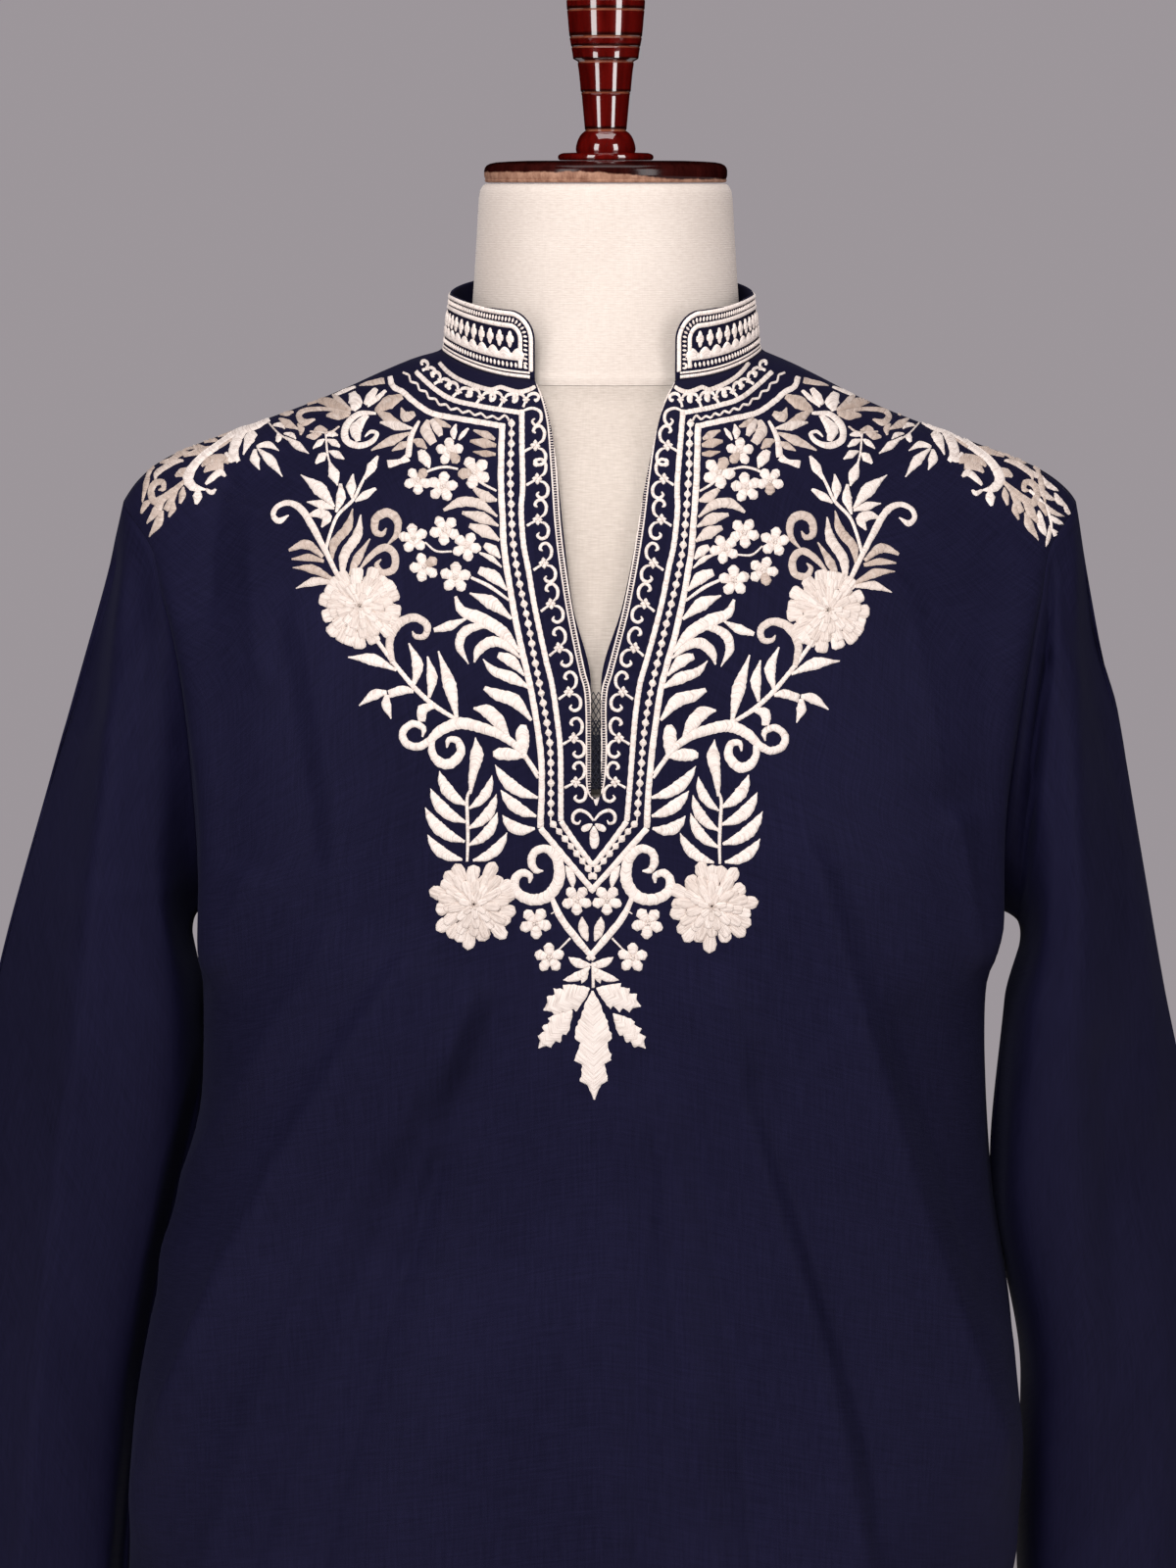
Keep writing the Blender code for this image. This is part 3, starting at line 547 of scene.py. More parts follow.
def cloth_material():
    """Fine navy cotton satin: warp and weft threads, faint slubs, a soft low sheen."""
    m = Nodes("navy_satin")
    uv = m.add("ShaderNodeUVMap", uv_map="UVMap").outputs[0]
    warp = m.add("ShaderNodeTexWave", wave_type="BANDS", bands_direction="X", Scale=1.0, Distortion=0.6)
    m.put(warp.inputs["Vector"], m.scaled(uv, 380.0, 40.0, 1.0))
    weft = m.add("ShaderNodeTexWave", wave_type="BANDS", bands_direction="Y", Scale=1.0, Distortion=0.6)
    m.put(weft.inputs["Vector"], m.scaled(uv, 40.0, 330.0, 1.0))
    slub = m.noise(m.scaled(uv, 60.0, 900.0, 1.0), 1.0, 3.0)
    slub_up = m.noise(m.scaled(uv, 900.0, 50.0, 1.0), 1.0, 3.0)
    cloud = m.noise(uv, 9.0, 3.0)
    tone = m.math("ADD", m.math("MULTIPLY", slub, 0.35), m.math("MULTIPLY", slub_up, 0.35))
    tone = m.math("ADD", tone, m.math("MULTIPLY", cloud, 0.30))
    tone = m.remap(tone, 0.36, 0.64, 0.0, 1.0)
    colour = m.blend(tone, (0.0052, 0.0047, 0.0165, 1), (0.0090, 0.0082, 0.0270, 1))
    m.put(m.shader.inputs["Base Color"], colour)
    m.put(m.shader.inputs["Roughness"], m.remap(slub, 0.3, 0.7, 0.58, 0.66))
    m.shader.inputs["Specular IOR Level"].default_value = 0.07
    m.shader.inputs["Sheen Weight"].default_value = 0.025
    m.shader.inputs["Sheen Roughness"].default_value = 0.45
    m.shader.inputs["Sheen Tint"].default_value = (0.42, 0.43, 0.75, 1)
    weave = m.math("ADD", m.math("MULTIPLY", warp.outputs["Fac"], 0.5),
                   m.math("MULTIPLY", weft.outputs["Fac"], 0.5))
    fine = m.bump(m.math("ADD", weave, m.math("MULTIPLY", slub, 0.8)), 0.22, 0.00012)
    m.put(m.shader.inputs["Normal"], fine)
    return m.mat


NAVY = cloth_material()

# ------------------------------------------------------------- camera frame
CAM = (-0.0056, -2.6, 1.58)
PITCH = math.radians(6.3)
FOCAL = 125.0 / 36.0 * 1600.0        # pixels, for the 1200 x 1600 frame


def ray(u, v):
    """Direction from the camera through a point of the 1200 x 1600 frame."""
    a = (u - 600.0) / FOCAL
    b = -(v - 800.0) / FOCAL
    c, s = math.cos(PITCH), math.sin(PITCH)
    d = Vector((a, c + b * s, -s + b * c))
    return d.normalized()


def seen(P):
    """Where points lie in the 1200 x 1600 frame."""
    d = np.asarray(P, float) - np.array(CAM)
    c, s = math.cos(PITCH), math.sin(PITCH)
    far = d[..., 1] * c - d[..., 2] * s
    return 600.0 + FOCAL * d[..., 0] / far, 800.0 - FOCAL * (d[..., 1] * s + d[..., 2] * c) / far


def fold_line(px, pv, path, wide_left, wide_right, crest=5.5):
    """Share of a fold's height at points of the frame; one flank may be steeper than the other."""
    best = np.full(np.shape(px), 9e3)
    where = np.zeros(np.shape(px))
    sign = np.ones(np.shape(px))
    n = len(path) - 1
    for k, ((ax, av), (bx, bv)) in enumerate(zip(path, path[1:])):
        lx, lv = bx - ax, bv - av
        t = np.clip(((px - ax) * lx + (pv - av) * lv) / (lx * lx + lv * lv), 0, 1)
        d = np.hypot(px - ax - t * lx, pv - av - t * lv)
        right = lx * (pv - av) - lv * (px - ax)
        near = d < best
        where = np.where(near, (k + t) / n, where)
        sign = np.where(near, np.where(right < 0, 1.0, -1.0), sign)
        best = np.minimum(best, d)
    wide = np.where(sign > 0, wide_right, wide_left) / 0.00046
    lift = np.exp(-(np.sqrt(best ** 2 + crest ** 2) - crest) / wide)
    return lift * smooth(where / 0.16) * smooth((1 - where) / 0.16), where


# -------------------------------------------------------------- body panels
# Soft folds seen on the cloth: (side, points in the front view, half width,
# height).  Troughs are negative.  Those of the back are the builder's guess.
# Folds of the front as they run in the picture: (points, half width of the
# left flank, of the right flank, height).  A sharp fold has one short flank.
FRONT_FOLDS = [
    # left of the picture
    ([(352, 930), (337, 969), (294, 1037), (250, 1125), (206, 1200), (181, 1262), (160, 1340)], 0.012, 0.024, 0.0046),
    ([(450, 940), (412, 987), (350, 1087), (300, 1175), (262, 1250), (212, 1344), (175, 1431), (150, 1520)],
     0.0045, 0.018, 0.0042),
    ([(500, 985), (475, 1031), (375, 1200), (300, 1350), (244, 1506), (205, 1640), (190, 1800)], 0.014, 0.014, 0.0032),
    ([(478, 1080), (437, 1150), (387, 1256), (331, 1381), (281, 1506), (240, 1640), (225, 1800)], 0.012, 0.012, -0.0034),
    ([(480, 1000), (462, 1056), (425, 1200), (404, 1300)], 0.010, 0.008, 0.0024),
    ([(512, 1010), (494, 1056), (437, 1212), (400, 1320)], 0.007, 0.010, -0.0026),
    ([(455, 1160), (431, 1225), (375, 1400), (331, 1556), (310, 1700), (300, 1900)], 0.014, 0.017, -0.0034),
    # centre and right
    ([(664, 1130), (658, 1230), (654, 1350), (655, 1480), (656, 1620), (656, 1900)], 0.012, 0.012, -0.0040),
    ([(668, 1080), (680, 1170), (694, 1350), (719, 1537), (730, 1700), (735, 1900)], 0.010, 0.011, 0.0028),
    ([(700, 1100), (719, 1200), (744, 1350), (769, 1569), (780, 1760)], 0.008, 0.010, -0.0026),
    ([(724, 975), (744, 1037), (781, 1200), (837, 1381), (875, 1569), (890, 1760)], 0.018, 0.008, 0.0038),
    ([(758, 1060), (769, 1125), (812, 1237), (856, 1375), (887, 1475), (905, 1620)], 0.005, 0.013, -0.0030),
    ([(800, 815), (831, 887), (875, 1037), (906, 1137), (937, 1237), (981, 1362), (1012, 1462), (1025, 1560)],
     0.026, 0.0075, 0.0052),
    ([(905, 1000), (935, 1100), (970, 1200), (1000, 1300), (1020, 1380)], 0.012, 0.016, -0.0022),
    ([(966, 820), (978, 872), (989, 935), (998, 1000)], 0.004, 0.012, 0.0026),
    # chest
    ([(302, 600), (316, 661), (337, 798), (345, 880), (347, 960)], 0.010, 0.016, 0.0020),
    ([(282, 620), (296, 700), (316, 820), (322, 900)], 0.012, 0.010, -0.0016),
    ([(262, 880), (246, 920), (230, 965), (222, 1000)], 0.010, 0.010, 0.0018),
    ([(236, 470), (222, 510), (214, 560), (212, 640)], 0.008, 0.016, -0.0022),
    ([(262, 500), (256, 560), (262, 640), (272, 720)], 0.010, 0.014, 0.0018),
    ([(900, 560), (930, 640), (950, 740), (960, 820)], 0.020, 0.014, 0.0016),
    ([(842, 700), (826, 760), (812, 800)], 0.010, 0.010, -0.0012),
]

CREASES = [
    # lower front, below the frame of the picture
    (FRONT, [(-0.030, 0.900), (-0.022, 0.700), (-0.020, 0.470)], 0.018, -0.0040),
    (FRONT, [(-0.150, 0.870), (-0.166, 0.700), (-0.172, 0.470)], 0.016, -0.0040),
    (FRONT, [(0.076, 0.860), (0.078, 0.680), (0.080, 0.470)], 0.018, 0.0030),
    (FRONT, [(0.130, 0.850), (0.134, 0.660), (0.136, 0.470)], 0.014, -0.0036),
    # back
    (BACK, [(-0.060, 1.400), (-0.075, 1.300), (-0.080, 1.180)], 0.022, 0.0024),
    (BACK, [(0.066, 1.390), (0.078, 1.290), (0.080, 1.170)], 0.022, 0.0022),
    (BACK, [(0.010, 1.360), (0.004, 1.230), (0.000, 1.080)], 0.020, -0.0022),
    (BACK, [(-0.110, 1.180), (-0.146, 1.080), (-0.176, 0.960), (-0.188, 0.840)], 0.012, 0.0040),
    (BACK, [(-0.080, 1.170), (-0.112, 1.060), (-0.136, 0.940), (-0.148, 0.800)], 0.013, -0.0030),
    (BACK, [(0.120, 1.190), (0.146, 1.090), (0.166, 0.980), (0.176, 0.860)], 0.012, 0.0038),
    (BACK, [(0.088, 1.160), (0.112, 1.060), (0.130, 0.950), (0.140, 0.820)], 0.013, -0.0030),
    (BACK, [(-0.030, 1.120), (-0.046, 0.960), (-0.056, 0.780), (-0.060, 0.470)], 0.018, 0.0036),
    (BACK, [(0.030, 1.060), (0.040, 0.900), (0.044, 0.700), (0.046, 0.470)], 0.018, 0.0034),
    (BACK, [(-0.004, 1.000), (-0.008, 0.800), (-0.008, 0.470)], 0.014, -0.0036),
    (BACK, [(-0.110, 0.900), (-0.114, 0.700), (-0.116, 0.470)], 0.016, -0.0036),
    (BACK, [(0.096, 0.880), (0.100, 0.700), (0.102, 0.470)], 0.016, -0.0034),
]


def crease_height(side, P):
    x, z = P[:, 0], P[:, 2]
    total = np.zeros_like(z)
    for c_side, path, half, height in CREASES:
        if c_side == side:
            to_hem = path[-1][1] < HEM_Z
            d, t = near_path(x, z, path)
            fade = smooth(t / 0.30) * (1.0 if to_hem else smooth((1 - t) / 0.30))
            total += height * np.exp(-(d / half) ** 2) * fade
    if side == FRONT:
        px, pv = seen(P)
        for path, left, right, height in FRONT_FOLDS:
            total += 1.9 * height * fold_line(px, pv, path, left, right, 2.6)[0]
    # a shallow, wide unevenness so that no part is a plain surface
    total += 0.0006 * np.sin(31 * x + 9 * z + side) * np.sin(13 * z + 2.2)
    total += 0.0003 * np.sin(67 * x - 21 * z + 1.3 * side) * np.sin(29 * z + 0.7)
    return total


def row_numbers(low, slit, neck, ends=1.0):
    """Row numbers from the hem to the shoulder, close together at the seams."""
    return np.concatenate([np.linspace(0, LOW, low, endpoint=False),
                           [LOW, LOW + 0.7],
                           np.linspace(LOW + 0.85, LOW + SLITS, slit, endpoint=False),
                           np.linspace(LOW + SLITS, ROWS, neck + 1)])


def arc(P, axis):
    d = np.linalg.norm(np.diff(P, axis=axis), axis=-1)
    zero = np.zeros_like(np.take(d, [0], axis=axis))
    return np.concatenate([zero, np.cumsum(d, axis=axis)], axis=axis)


def body_mesh(side, cols, low, slit, neck):
    """Middle surface of a body panel: both halves, with their folds."""
    j = row_numbers(low, slit, neck)[:, None]
    u = np.linspace(0, 1, cols + 1)
    u = mix(u, smooth(u), 0.35)[None, :]
    verts, faces, uvs, count = [], [], [], 0
    for sx in (-1, 1):
        P, turn = panel(side, sx, u, j)
        R, C = P.shape[:2]
        uv = np.stack([sx * arc(P, 1), 0.48 + np.repeat(arc(P, 0)[:, C // 2:C // 2 + 1], C, 1)], -1)
        q = quads_of(R, C)
        if (sx < 0) == (side == FRONT):
            q = q[:, ::-1]
        verts.append(P.reshape(-1, 3))
        uvs.append(uv.reshape(-1, 2))
        faces.append(q + count)
        count += R * C
    v, f, uv = merge(np.concatenate(verts), np.concatenate(faces), np.concatenate(uvs))
    n = vertex_normals(v, f)
    mid = v.copy()
    mid[:, :2] = 0
    if (n * (v - mid)).sum() < 0:
        f = f[:, ::-1]
        n = -n
    # folds fade out towards sewn edges, and keep their height at the hem
    e = boundary(f)
    edge = v[np.unique(e)]
    edge = edge[edge[:, 2] > HEM_Z + 0.001]
    keep = np.ones(len(v))
    for start in range(0, len(v), 4000):
        block = v[start:start + 4000]
        near = np.full(len(block), 9.0)
        for s in range(0, len(edge), 800):
            d = np.linalg.norm(block[:, None, :] - edge[None, s:s + 800, :], axis=-1).min(1)
            near = np.minimum(near, d)
        keep[start:start + 4000] = smooth(near / 0.030)
    v = v + n * (crease_height(side, v) * keep)[:, None]
    # the turned-up hem is two layers thicker
    hem = 0.0005 * (1 - smooth((v[:, 2] - HEM_Z - 0.0235) / 0.0012))
    groove = -0.0004 * np.exp(-((v[:, 2] - HEM_Z - 0.0225) / 0.0011) ** 2)
    v = v + vertex_normals(v, f) * (hem + groove)[:, None]
    return v, f, uv


def armhole_loop(sx, count):
    k = np.linspace(0, 2 * (ROWS - LOW), count, endpoint=False)
    front = panel(FRONT, sx, np.ones_like(k), np.clip(ROWS - k, LOW, ROWS))[0]
    back = panel(BACK, sx, np.ones_like(k), np.clip(k, LOW, ROWS))[0]
    return np.where((k <= ROWS - LOW)[:, None], front, back)


def sleeve_ring(sx, z, count):
    t = SLEEVE[sx]
    a = 2 * math.pi * np.arange(count) / count
    dx = t.at(z, "hx") * np.cos(a)
    return np.stack([sx * (t.at(z, "cx") + dx), t.at(z, "cy") - t.at(z, "hy") * np.sin(a),
                     z + SLEEVE_TILT * dx], -1)


# Folds of the sleeves: (angle from the outer edge towards the front in degrees,
# height) points, half width, height.  Angles over 180 are on the back.
SLEEVE_CREASES = {
    -1: [([(62, 1.050), (66, 0.950), (70, 0.850)], 0.012, 0.0026),
         ([(15, 1.100), (8, 0.980), (4, 0.850)], 0.012, 0.0030),
         ([(330, 1.380), (322, 1.250), (318, 1.100), (316, 0.860)], 0.010, 0.0040),
         ([(300, 1.360), (294, 1.220), (290, 1.060), (288, 0.860)], 0.012, -0.0030),
         ([(262, 1.330), (256, 1.200), (252, 1.040), (250, 0.860)], 0.012, 0.0030),
         ([(352, 1.335), (6, 1.322)], 0.006, 0.0010),
         ([(350, 1.262), (8, 1.246)], 0.006, 0.0010)],
    1: [([(70, 1.120), (74, 1.000), (78, 0.860)], 0.012, 0.0026),
        ([(8, 1.140), (4, 1.000), (0, 0.860)], 0.013, 0.0028),
        ([(332, 1.380), (326, 1.240), (320, 1.080), (318, 0.860)], 0.010, 0.0038),
        ([(302, 1.350), (298, 1.210), (294, 1.040), (292, 0.860)], 0.012, -0.0030),
        ([(266, 1.320), (260, 1.190), (256, 1.020), (254, 0.860)], 0.012, 0.0028),
        ([(350, 1.392), (10, 1.384)], 0.006, 0.0010)],
}
# The same for the fronts of the sleeves, as they run in the picture.
SLEEVE_FOLDS = {
    -1: [([(132, 530), (126, 588), (121, 656), (113, 740), (110.5, 788), (100, 872), (92, 946), (81.6, 1025), (71, 1114),
           (60, 1180), (49, 1270), (41, 1350), (25, 1506), (10, 1700), (0, 1850)], 0.005, 0.014, 0.0016),
         ([(88, 1010), (70, 1120), (56, 1240), (44, 1350), (30, 1500), (16, 1650)], 0.004, 0.010, 0.0018),
         ([(152, 570), (150, 640), (146, 720), (140, 800)], 0.010, 0.012, -0.0014),
         ([(118, 540), (104, 620), (92, 700), (84, 760)], 0.006, 0.010, -0.0016)],
    1: [([(1096, 560), (1094, 656), (1091.6, 725), (1099.5, 830), (1103, 904), (1102, 983), (1097, 1035), (1095, 1120),
          (1100, 1240), (1110, 1400), (1120, 1600), (1126, 1800)], 0.014, 0.005, 0.0016),
        ([(1122, 640), (1140, 780), (1160, 920), (1176, 1060), (1186, 1200)], 0.014, 0.012, 0.0026),
        ([(1118, 1040), (1130, 1160), (1136, 1300), (1140, 1460)], 0.012, 0.012, -0.0024)],
}


# Where, in the picture, the pressed crease runs and where the front turns in.
PRESSED = {
    -1: [(132, 530), (126, 588), (121, 656), (113, 740), (110.5, 788), (100, 872), (92, 946), (81.6, 1025), (71, 1114),
         (60, 1180), (49, 1270), (41, 1350), (25, 1506), (10, 1700), (0, 1850)],
    1: [(1096, 560), (1094, 656), (1092, 725), (1099, 830), (1103, 904), (1102, 983), (1099, 1035), (1098, 1120),
        (1102, 1240), (1110, 1400), (1120, 1600), (1126, 1800)],
}
TURNED = {
    -1: [(181, 560), (180, 640), (192, 672), (197, 704), (203, 798), (206, 877), (208, 960), (204, 1020), (190, 1100),
         (172, 1180), (150, 1280), (128, 1400), (112, 1600), (100, 1800)],
    1: [(1078, 560), (1076, 609), (1073, 693), (1062.6, 772), (1055, 851), (1043, 956), (1033, 1088), (1027, 1219),
        (1030, 1400), (1035, 1600), (1040, 1800)],
}
TURN_FLOOR = {-1: 0.30, 1: 0.12}


def sleeve_mesh(sx, count, cap, tube):
    loop = armhole_loop(sx, count)
    first = sleeve_ring(sx, SLEEVE_TOP_Z, count)
    below = sleeve_ring(sx, SLEEVE_TOP_Z - 0.01, count)
    a = 2 * math.pi * np.arange(count) / count
    under = np.sin(a / 2) ** 2
    reach = np.linalg.norm(first - loop, axis=1)[:, None]
    out = mix(LEAVE[sx][0], LEAVE[sx][1], under)
    leave = np.stack([sx * out, -0.15 * np.sin(a), -np.sqrt(1 - out * out)], -1)
    leave = leave * mix(1, LEAVE[sx][2], under ** 4)[:, None]
    arrive = below - first
    arrive /= np.linalg.norm(arrive, axis=1)[:, None]
    rings = [loop]
    for r in range(1, cap + 1):
        u = r / cap
        rings.append(loop * (2 * u ** 3 - 3 * u ** 2 + 1) + leave * reach * (u ** 3 - 2 * u ** 2 + u)
                     + first * (3 * u ** 2 - 2 * u ** 3) + arrive * reach * (u ** 3 - u ** 2))
    for r in range(1, tube + 1):
        rings.append(sleeve_ring(sx, mix(SLEEVE_TOP_Z, CUFF_Z, r / tube), count))
    P = np.array(rings)
    R, C = P.shape[:2]
    f = quads_of(R, C, wrap=True)
    v = P.reshape(-1, 3)
    length = arc(P, 0)
    girth = np.repeat((a * 0.055)[None, :], R, 0)
    uv = np.stack([girth + 1.0 * sx, -length], -1).reshape(-1, 2)
    n = vertex_normals(v, f)
    centre = P.mean(1, keepdims=True)
    if (n * (P - centre).reshape(-1, 3)).sum() < 0:
        f = f[:, ::-1]
        n = -n
    angle = np.degrees(np.repeat(a[None, :], R, 0)).reshape(-1)
    along = length.reshape(-1)
    total = np.zeros(len(v))
    for path, half, height in SLEEVE_CREASES[sx]:
        # measured on the opened-out sleeve: 1 degree is about 1 mm round
        lifted = 0
        for shift in (-360, 0, 360):
            pts = [((d + shift) * 0.00102, z) for d, z in path]
            dist, t = near_path(angle * 0.00102, v[:, 2], pts)
            lifted = np.maximum(lifted, np.exp(-(dist / half) ** 2)
                                * smooth(t / 0.22) * (1.0 if path[-1][1] < 0.87 else smooth((1 - t) / 0.25)))
        total += height * lifted
    total += 0.0006 * np.sin(np.radians(3 * angle) + 17 * v[:, 2]) * np.sin(23 * v[:, 2] + sx)
    px, pv = seen(v)
    facing = smooth((-n[:, 1] + 0.10) / 0.30)
    for path, left, right, height in SLEEVE_FOLDS[sx]:
        total += 1.7 * height * fold_line(px, pv, path, left, right, 4.0)[0] * facing
    total *= smooth(along / 0.028)
    # the front hangs flat from the pressed crease to the inner edge, and
    # falls away sharply on both sides
    lo, hi = P[:, :, 0].min(1, keepdims=True), P[:, :, 0].max(1, keepdims=True)
    half = np.repeat((hi - lo) / 2, C, 1).reshape(-1)
    out = sx * (v[:, 0] - np.repeat((hi + lo) / 2, C, 1).reshape(-1)) / half
    out = np.clip(out, -1.0, 1.0)
    deep = P[:, :, 1].mean(1, keepdims=True) - P[:, :, 1].min(1, keepdims=True)
    deep = np.repeat(deep, C, 1).reshape(-1)
    press, turn_in = PRESSED[sx], TURNED[sx]
    at_press = out + sx * (np.interp(pv, [q[1] for q in press], [q[0] for q in press]) - px) * 0.000458 / half
    at_turn = out + sx * (np.interp(pv, [q[1] for q in turn_in], [q[0] for q in turn_in]) - px) * 0.000458 / half
    ramp = np.clip((1 - out) / np.clip(1 - at_press, 0.25, 1.9), 0.02, 9.0)
    inner = 1.0 - (1.0 - TURN_FLOOR[sx]) * smooth((at_turn + 0.03 - out) / 0.15)
    inner = np.minimum(inner, np.sqrt(1 - np.clip(-out, 0, 1) ** 9))
    inner = np.maximum(inner, 0.03)
    section = 1.07 * (ramp ** -10 + 1.0 + inner ** -10) ** -0.1
    change = deep * (section - np.sqrt(np.maximum(0.0, 1 - out * out)))
    push = np.zeros_like(v)
    push[:, 1] = -0.90 * change * smooth(-n[:, 1] / 0.12) * smooth(along / 0.045)
    cuff = P[-1, :, 2].min()
    from_cuff = (length[-1][None, :] - length).reshape(-1)
    total += 0.0005 * (1 - smooth((from_cuff - 0.0235) / 0.0012))
    total += -0.0004 * np.exp(-((from_cuff - 0.0225) / 0.0011) ** 2)
    v = v + n * total[:, None] + push
    return v, f, uv


def collar_points(s, h):
    """Collar surface: s along the neckline in metres (arrays), h up it."""
    base = np.stack([np.interp(s, NECK_RUN, NECK_LOOP[:, k]) for k in range(3)], -1)
    end = np.minimum(s, NECK_RUN[-1] - s)
    tall = mix(COLLAR_H, COLLAR_H_SIDE, smooth(end / 0.085)) / COLLAR_H
    lean = COLLAR_LEAN * smooth(end / 0.070)
    flat = base.copy()
    flat[..., 2] = 0
    inward = -flat / np.linalg.norm(flat, axis=-1)[..., None]
    up = np.array([0, -COLLAR_TILT, 1.0]) / math.hypot(1, COLLAR_TILT)
    return base + (up * h[..., None] + inward * (lean * h / COLLAR_H)[..., None]) * tall[..., None]


def neck_loop():
    j = np.linspace(LOW + SLITS, ROWS, 61)
    z = np.zeros_like(j)
    left = panel(FRONT, -1, z, j)[0]
    back_left = panel(BACK, -1, z, j)[0][::-1]
    back_right = panel(BACK, 1, z, j)[0]
    right = panel(FRONT, 1, z, j)[0][::-1]
    return np.concatenate([left, back_left[1:], back_right[1:], right[1:]])


NECK_LOOP = neck_loop()
NECK_RUN = np.concatenate([[0], np.cumsum(np.linalg.norm(np.diff(NECK_LOOP, axis=0), axis=1))])


def collar_mesh(along=260, up=22):
    total = NECK_RUN[-1]
    s = np.linspace(0, total, along + 1)
    e = np.linspace(0, 1, 13)[1:-1] * COLLAR_CORNER
    s = np.unique(np.concatenate([s, e, total - e]))[None, :]
    h = np.concatenate([np.linspace(0, COLLAR_H - COLLAR_CORNER, up // 2, endpoint=False),
                        np.linspace(COLLAR_H - COLLAR_CORNER, COLLAR_H, up // 2 + 1)])[:, None]
    s, h = np.broadcast_arrays(s, h)
    end = np.minimum(s, total - s)
    u = np.clip((COLLAR_CORNER - end) / COLLAR_CORNER, 0, 1)
    v = np.clip((h - COLLAR_H + COLLAR_CORNER) / COLLAR_CORNER, 0, 1)
    round_end = COLLAR_CORNER * (1 - u * np.sqrt(1 - v * v / 2))
    round_h = COLLAR_H - COLLAR_CORNER * (1 - v * np.sqrt(1 - u * u / 2))
    corner = (u > 0) & (v > 0)
    end2 = np.where(corner, round_end, end)
    h2 = np.where(corner, round_h, h)
    s2 = np.where(s < total / 2, end2, total - end2)
    P = collar_points(s2, h2)
    # the dip in the top edge at the side
    R, C = P.shape[:2]
    dip = 0.0010 * np.exp(-((end2 - 0.040) / 0.010) ** 2) * (h2 / COLLAR_H) ** 3
    P[..., 2] -= dip
    f = quads_of(R, C)
    v3 = P.reshape(-1, 3)
    n = vertex_normals(v3, f)
    out = v3.copy()
    out[:, 2] = 0
    if (n * out).sum() < 0:
        f = f[:, ::-1]
    uv = np.stack([s2 + 3.0, h2], -1).reshape(-1, 2)
    return v3, f, uv


MESHES = {
    "kurta_front": body_mesh(FRONT, 92, 136, 68, 32),
    "kurta_back": body_mesh(BACK, 44, 100, 40, 26),
    "sleeve_r": sleeve_mesh(-1, 144, 40, 80),
    "sleeve_l": sleeve_mesh(1, 144, 40, 80),
    "collar_band": collar_mesh(),
}


def shared_normals(meshes):
    """Normals of every mesh, made one where sewn edges lie side by side."""
    own = {k: vertex_normals(v, f) for k, (v, f, uv) in meshes.items()}
    bins = {}
    for k, (v, f, uv) in meshes.items():
        for i in np.unique(boundary(f)):
            bins.setdefault(tuple(np.round(v[i] / 0.0012).astype(int)), []).append((k, i))
    out = {k: n.copy() for k, n in own.items()}
    for (a, b, c), members in bins.items():
        around = [m for x in (-1, 0, 1) for y in (-1, 0, 1) for z in (-1, 0, 1)
                  for m in bins.get((a + x, b + y, c + z), ())]
        for k, i in members:
            p = meshes[k][0][i]
            total = own[k][i].copy()
            for name in meshes:
                if name == k:
                    continue
                mine = [m[1] for m in around if m[0] == name]
                if mine:
                    d = np.linalg.norm(meshes[name][0][mine] - p, axis=1)
                    best = int(np.argmin(d))
                    if d[best] < 0.0016:
                        total += own[name][mine[best]] * smooth((0.0016 - d[best]) / 0.0004)
            out[k][i] = total / np.linalg.norm(total)
    return out


NORMALS = shared_normals(MESHES)

CLOTH = {}
for _name, (_v, _f, _uv) in MESHES.items():
    CLOTH[_name] = cloth_shell(_name + "_cloth", _v, _f, _uv, NORMALS[_name], [NAVY])
    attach(CLOTH[_name], "root")
    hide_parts(_name)


# -------------------------------------------------------------- embroidery
# Motifs are drawn on a chart: the front view in points of the 1200 x 1600
# frame, or, for the collar, lengths along and up the band.  Every motif is a
# padded strip of satin stitch along a curve, laid on the cloth and domed.
PX = 0.000456            # one chart point on the chest, in metres


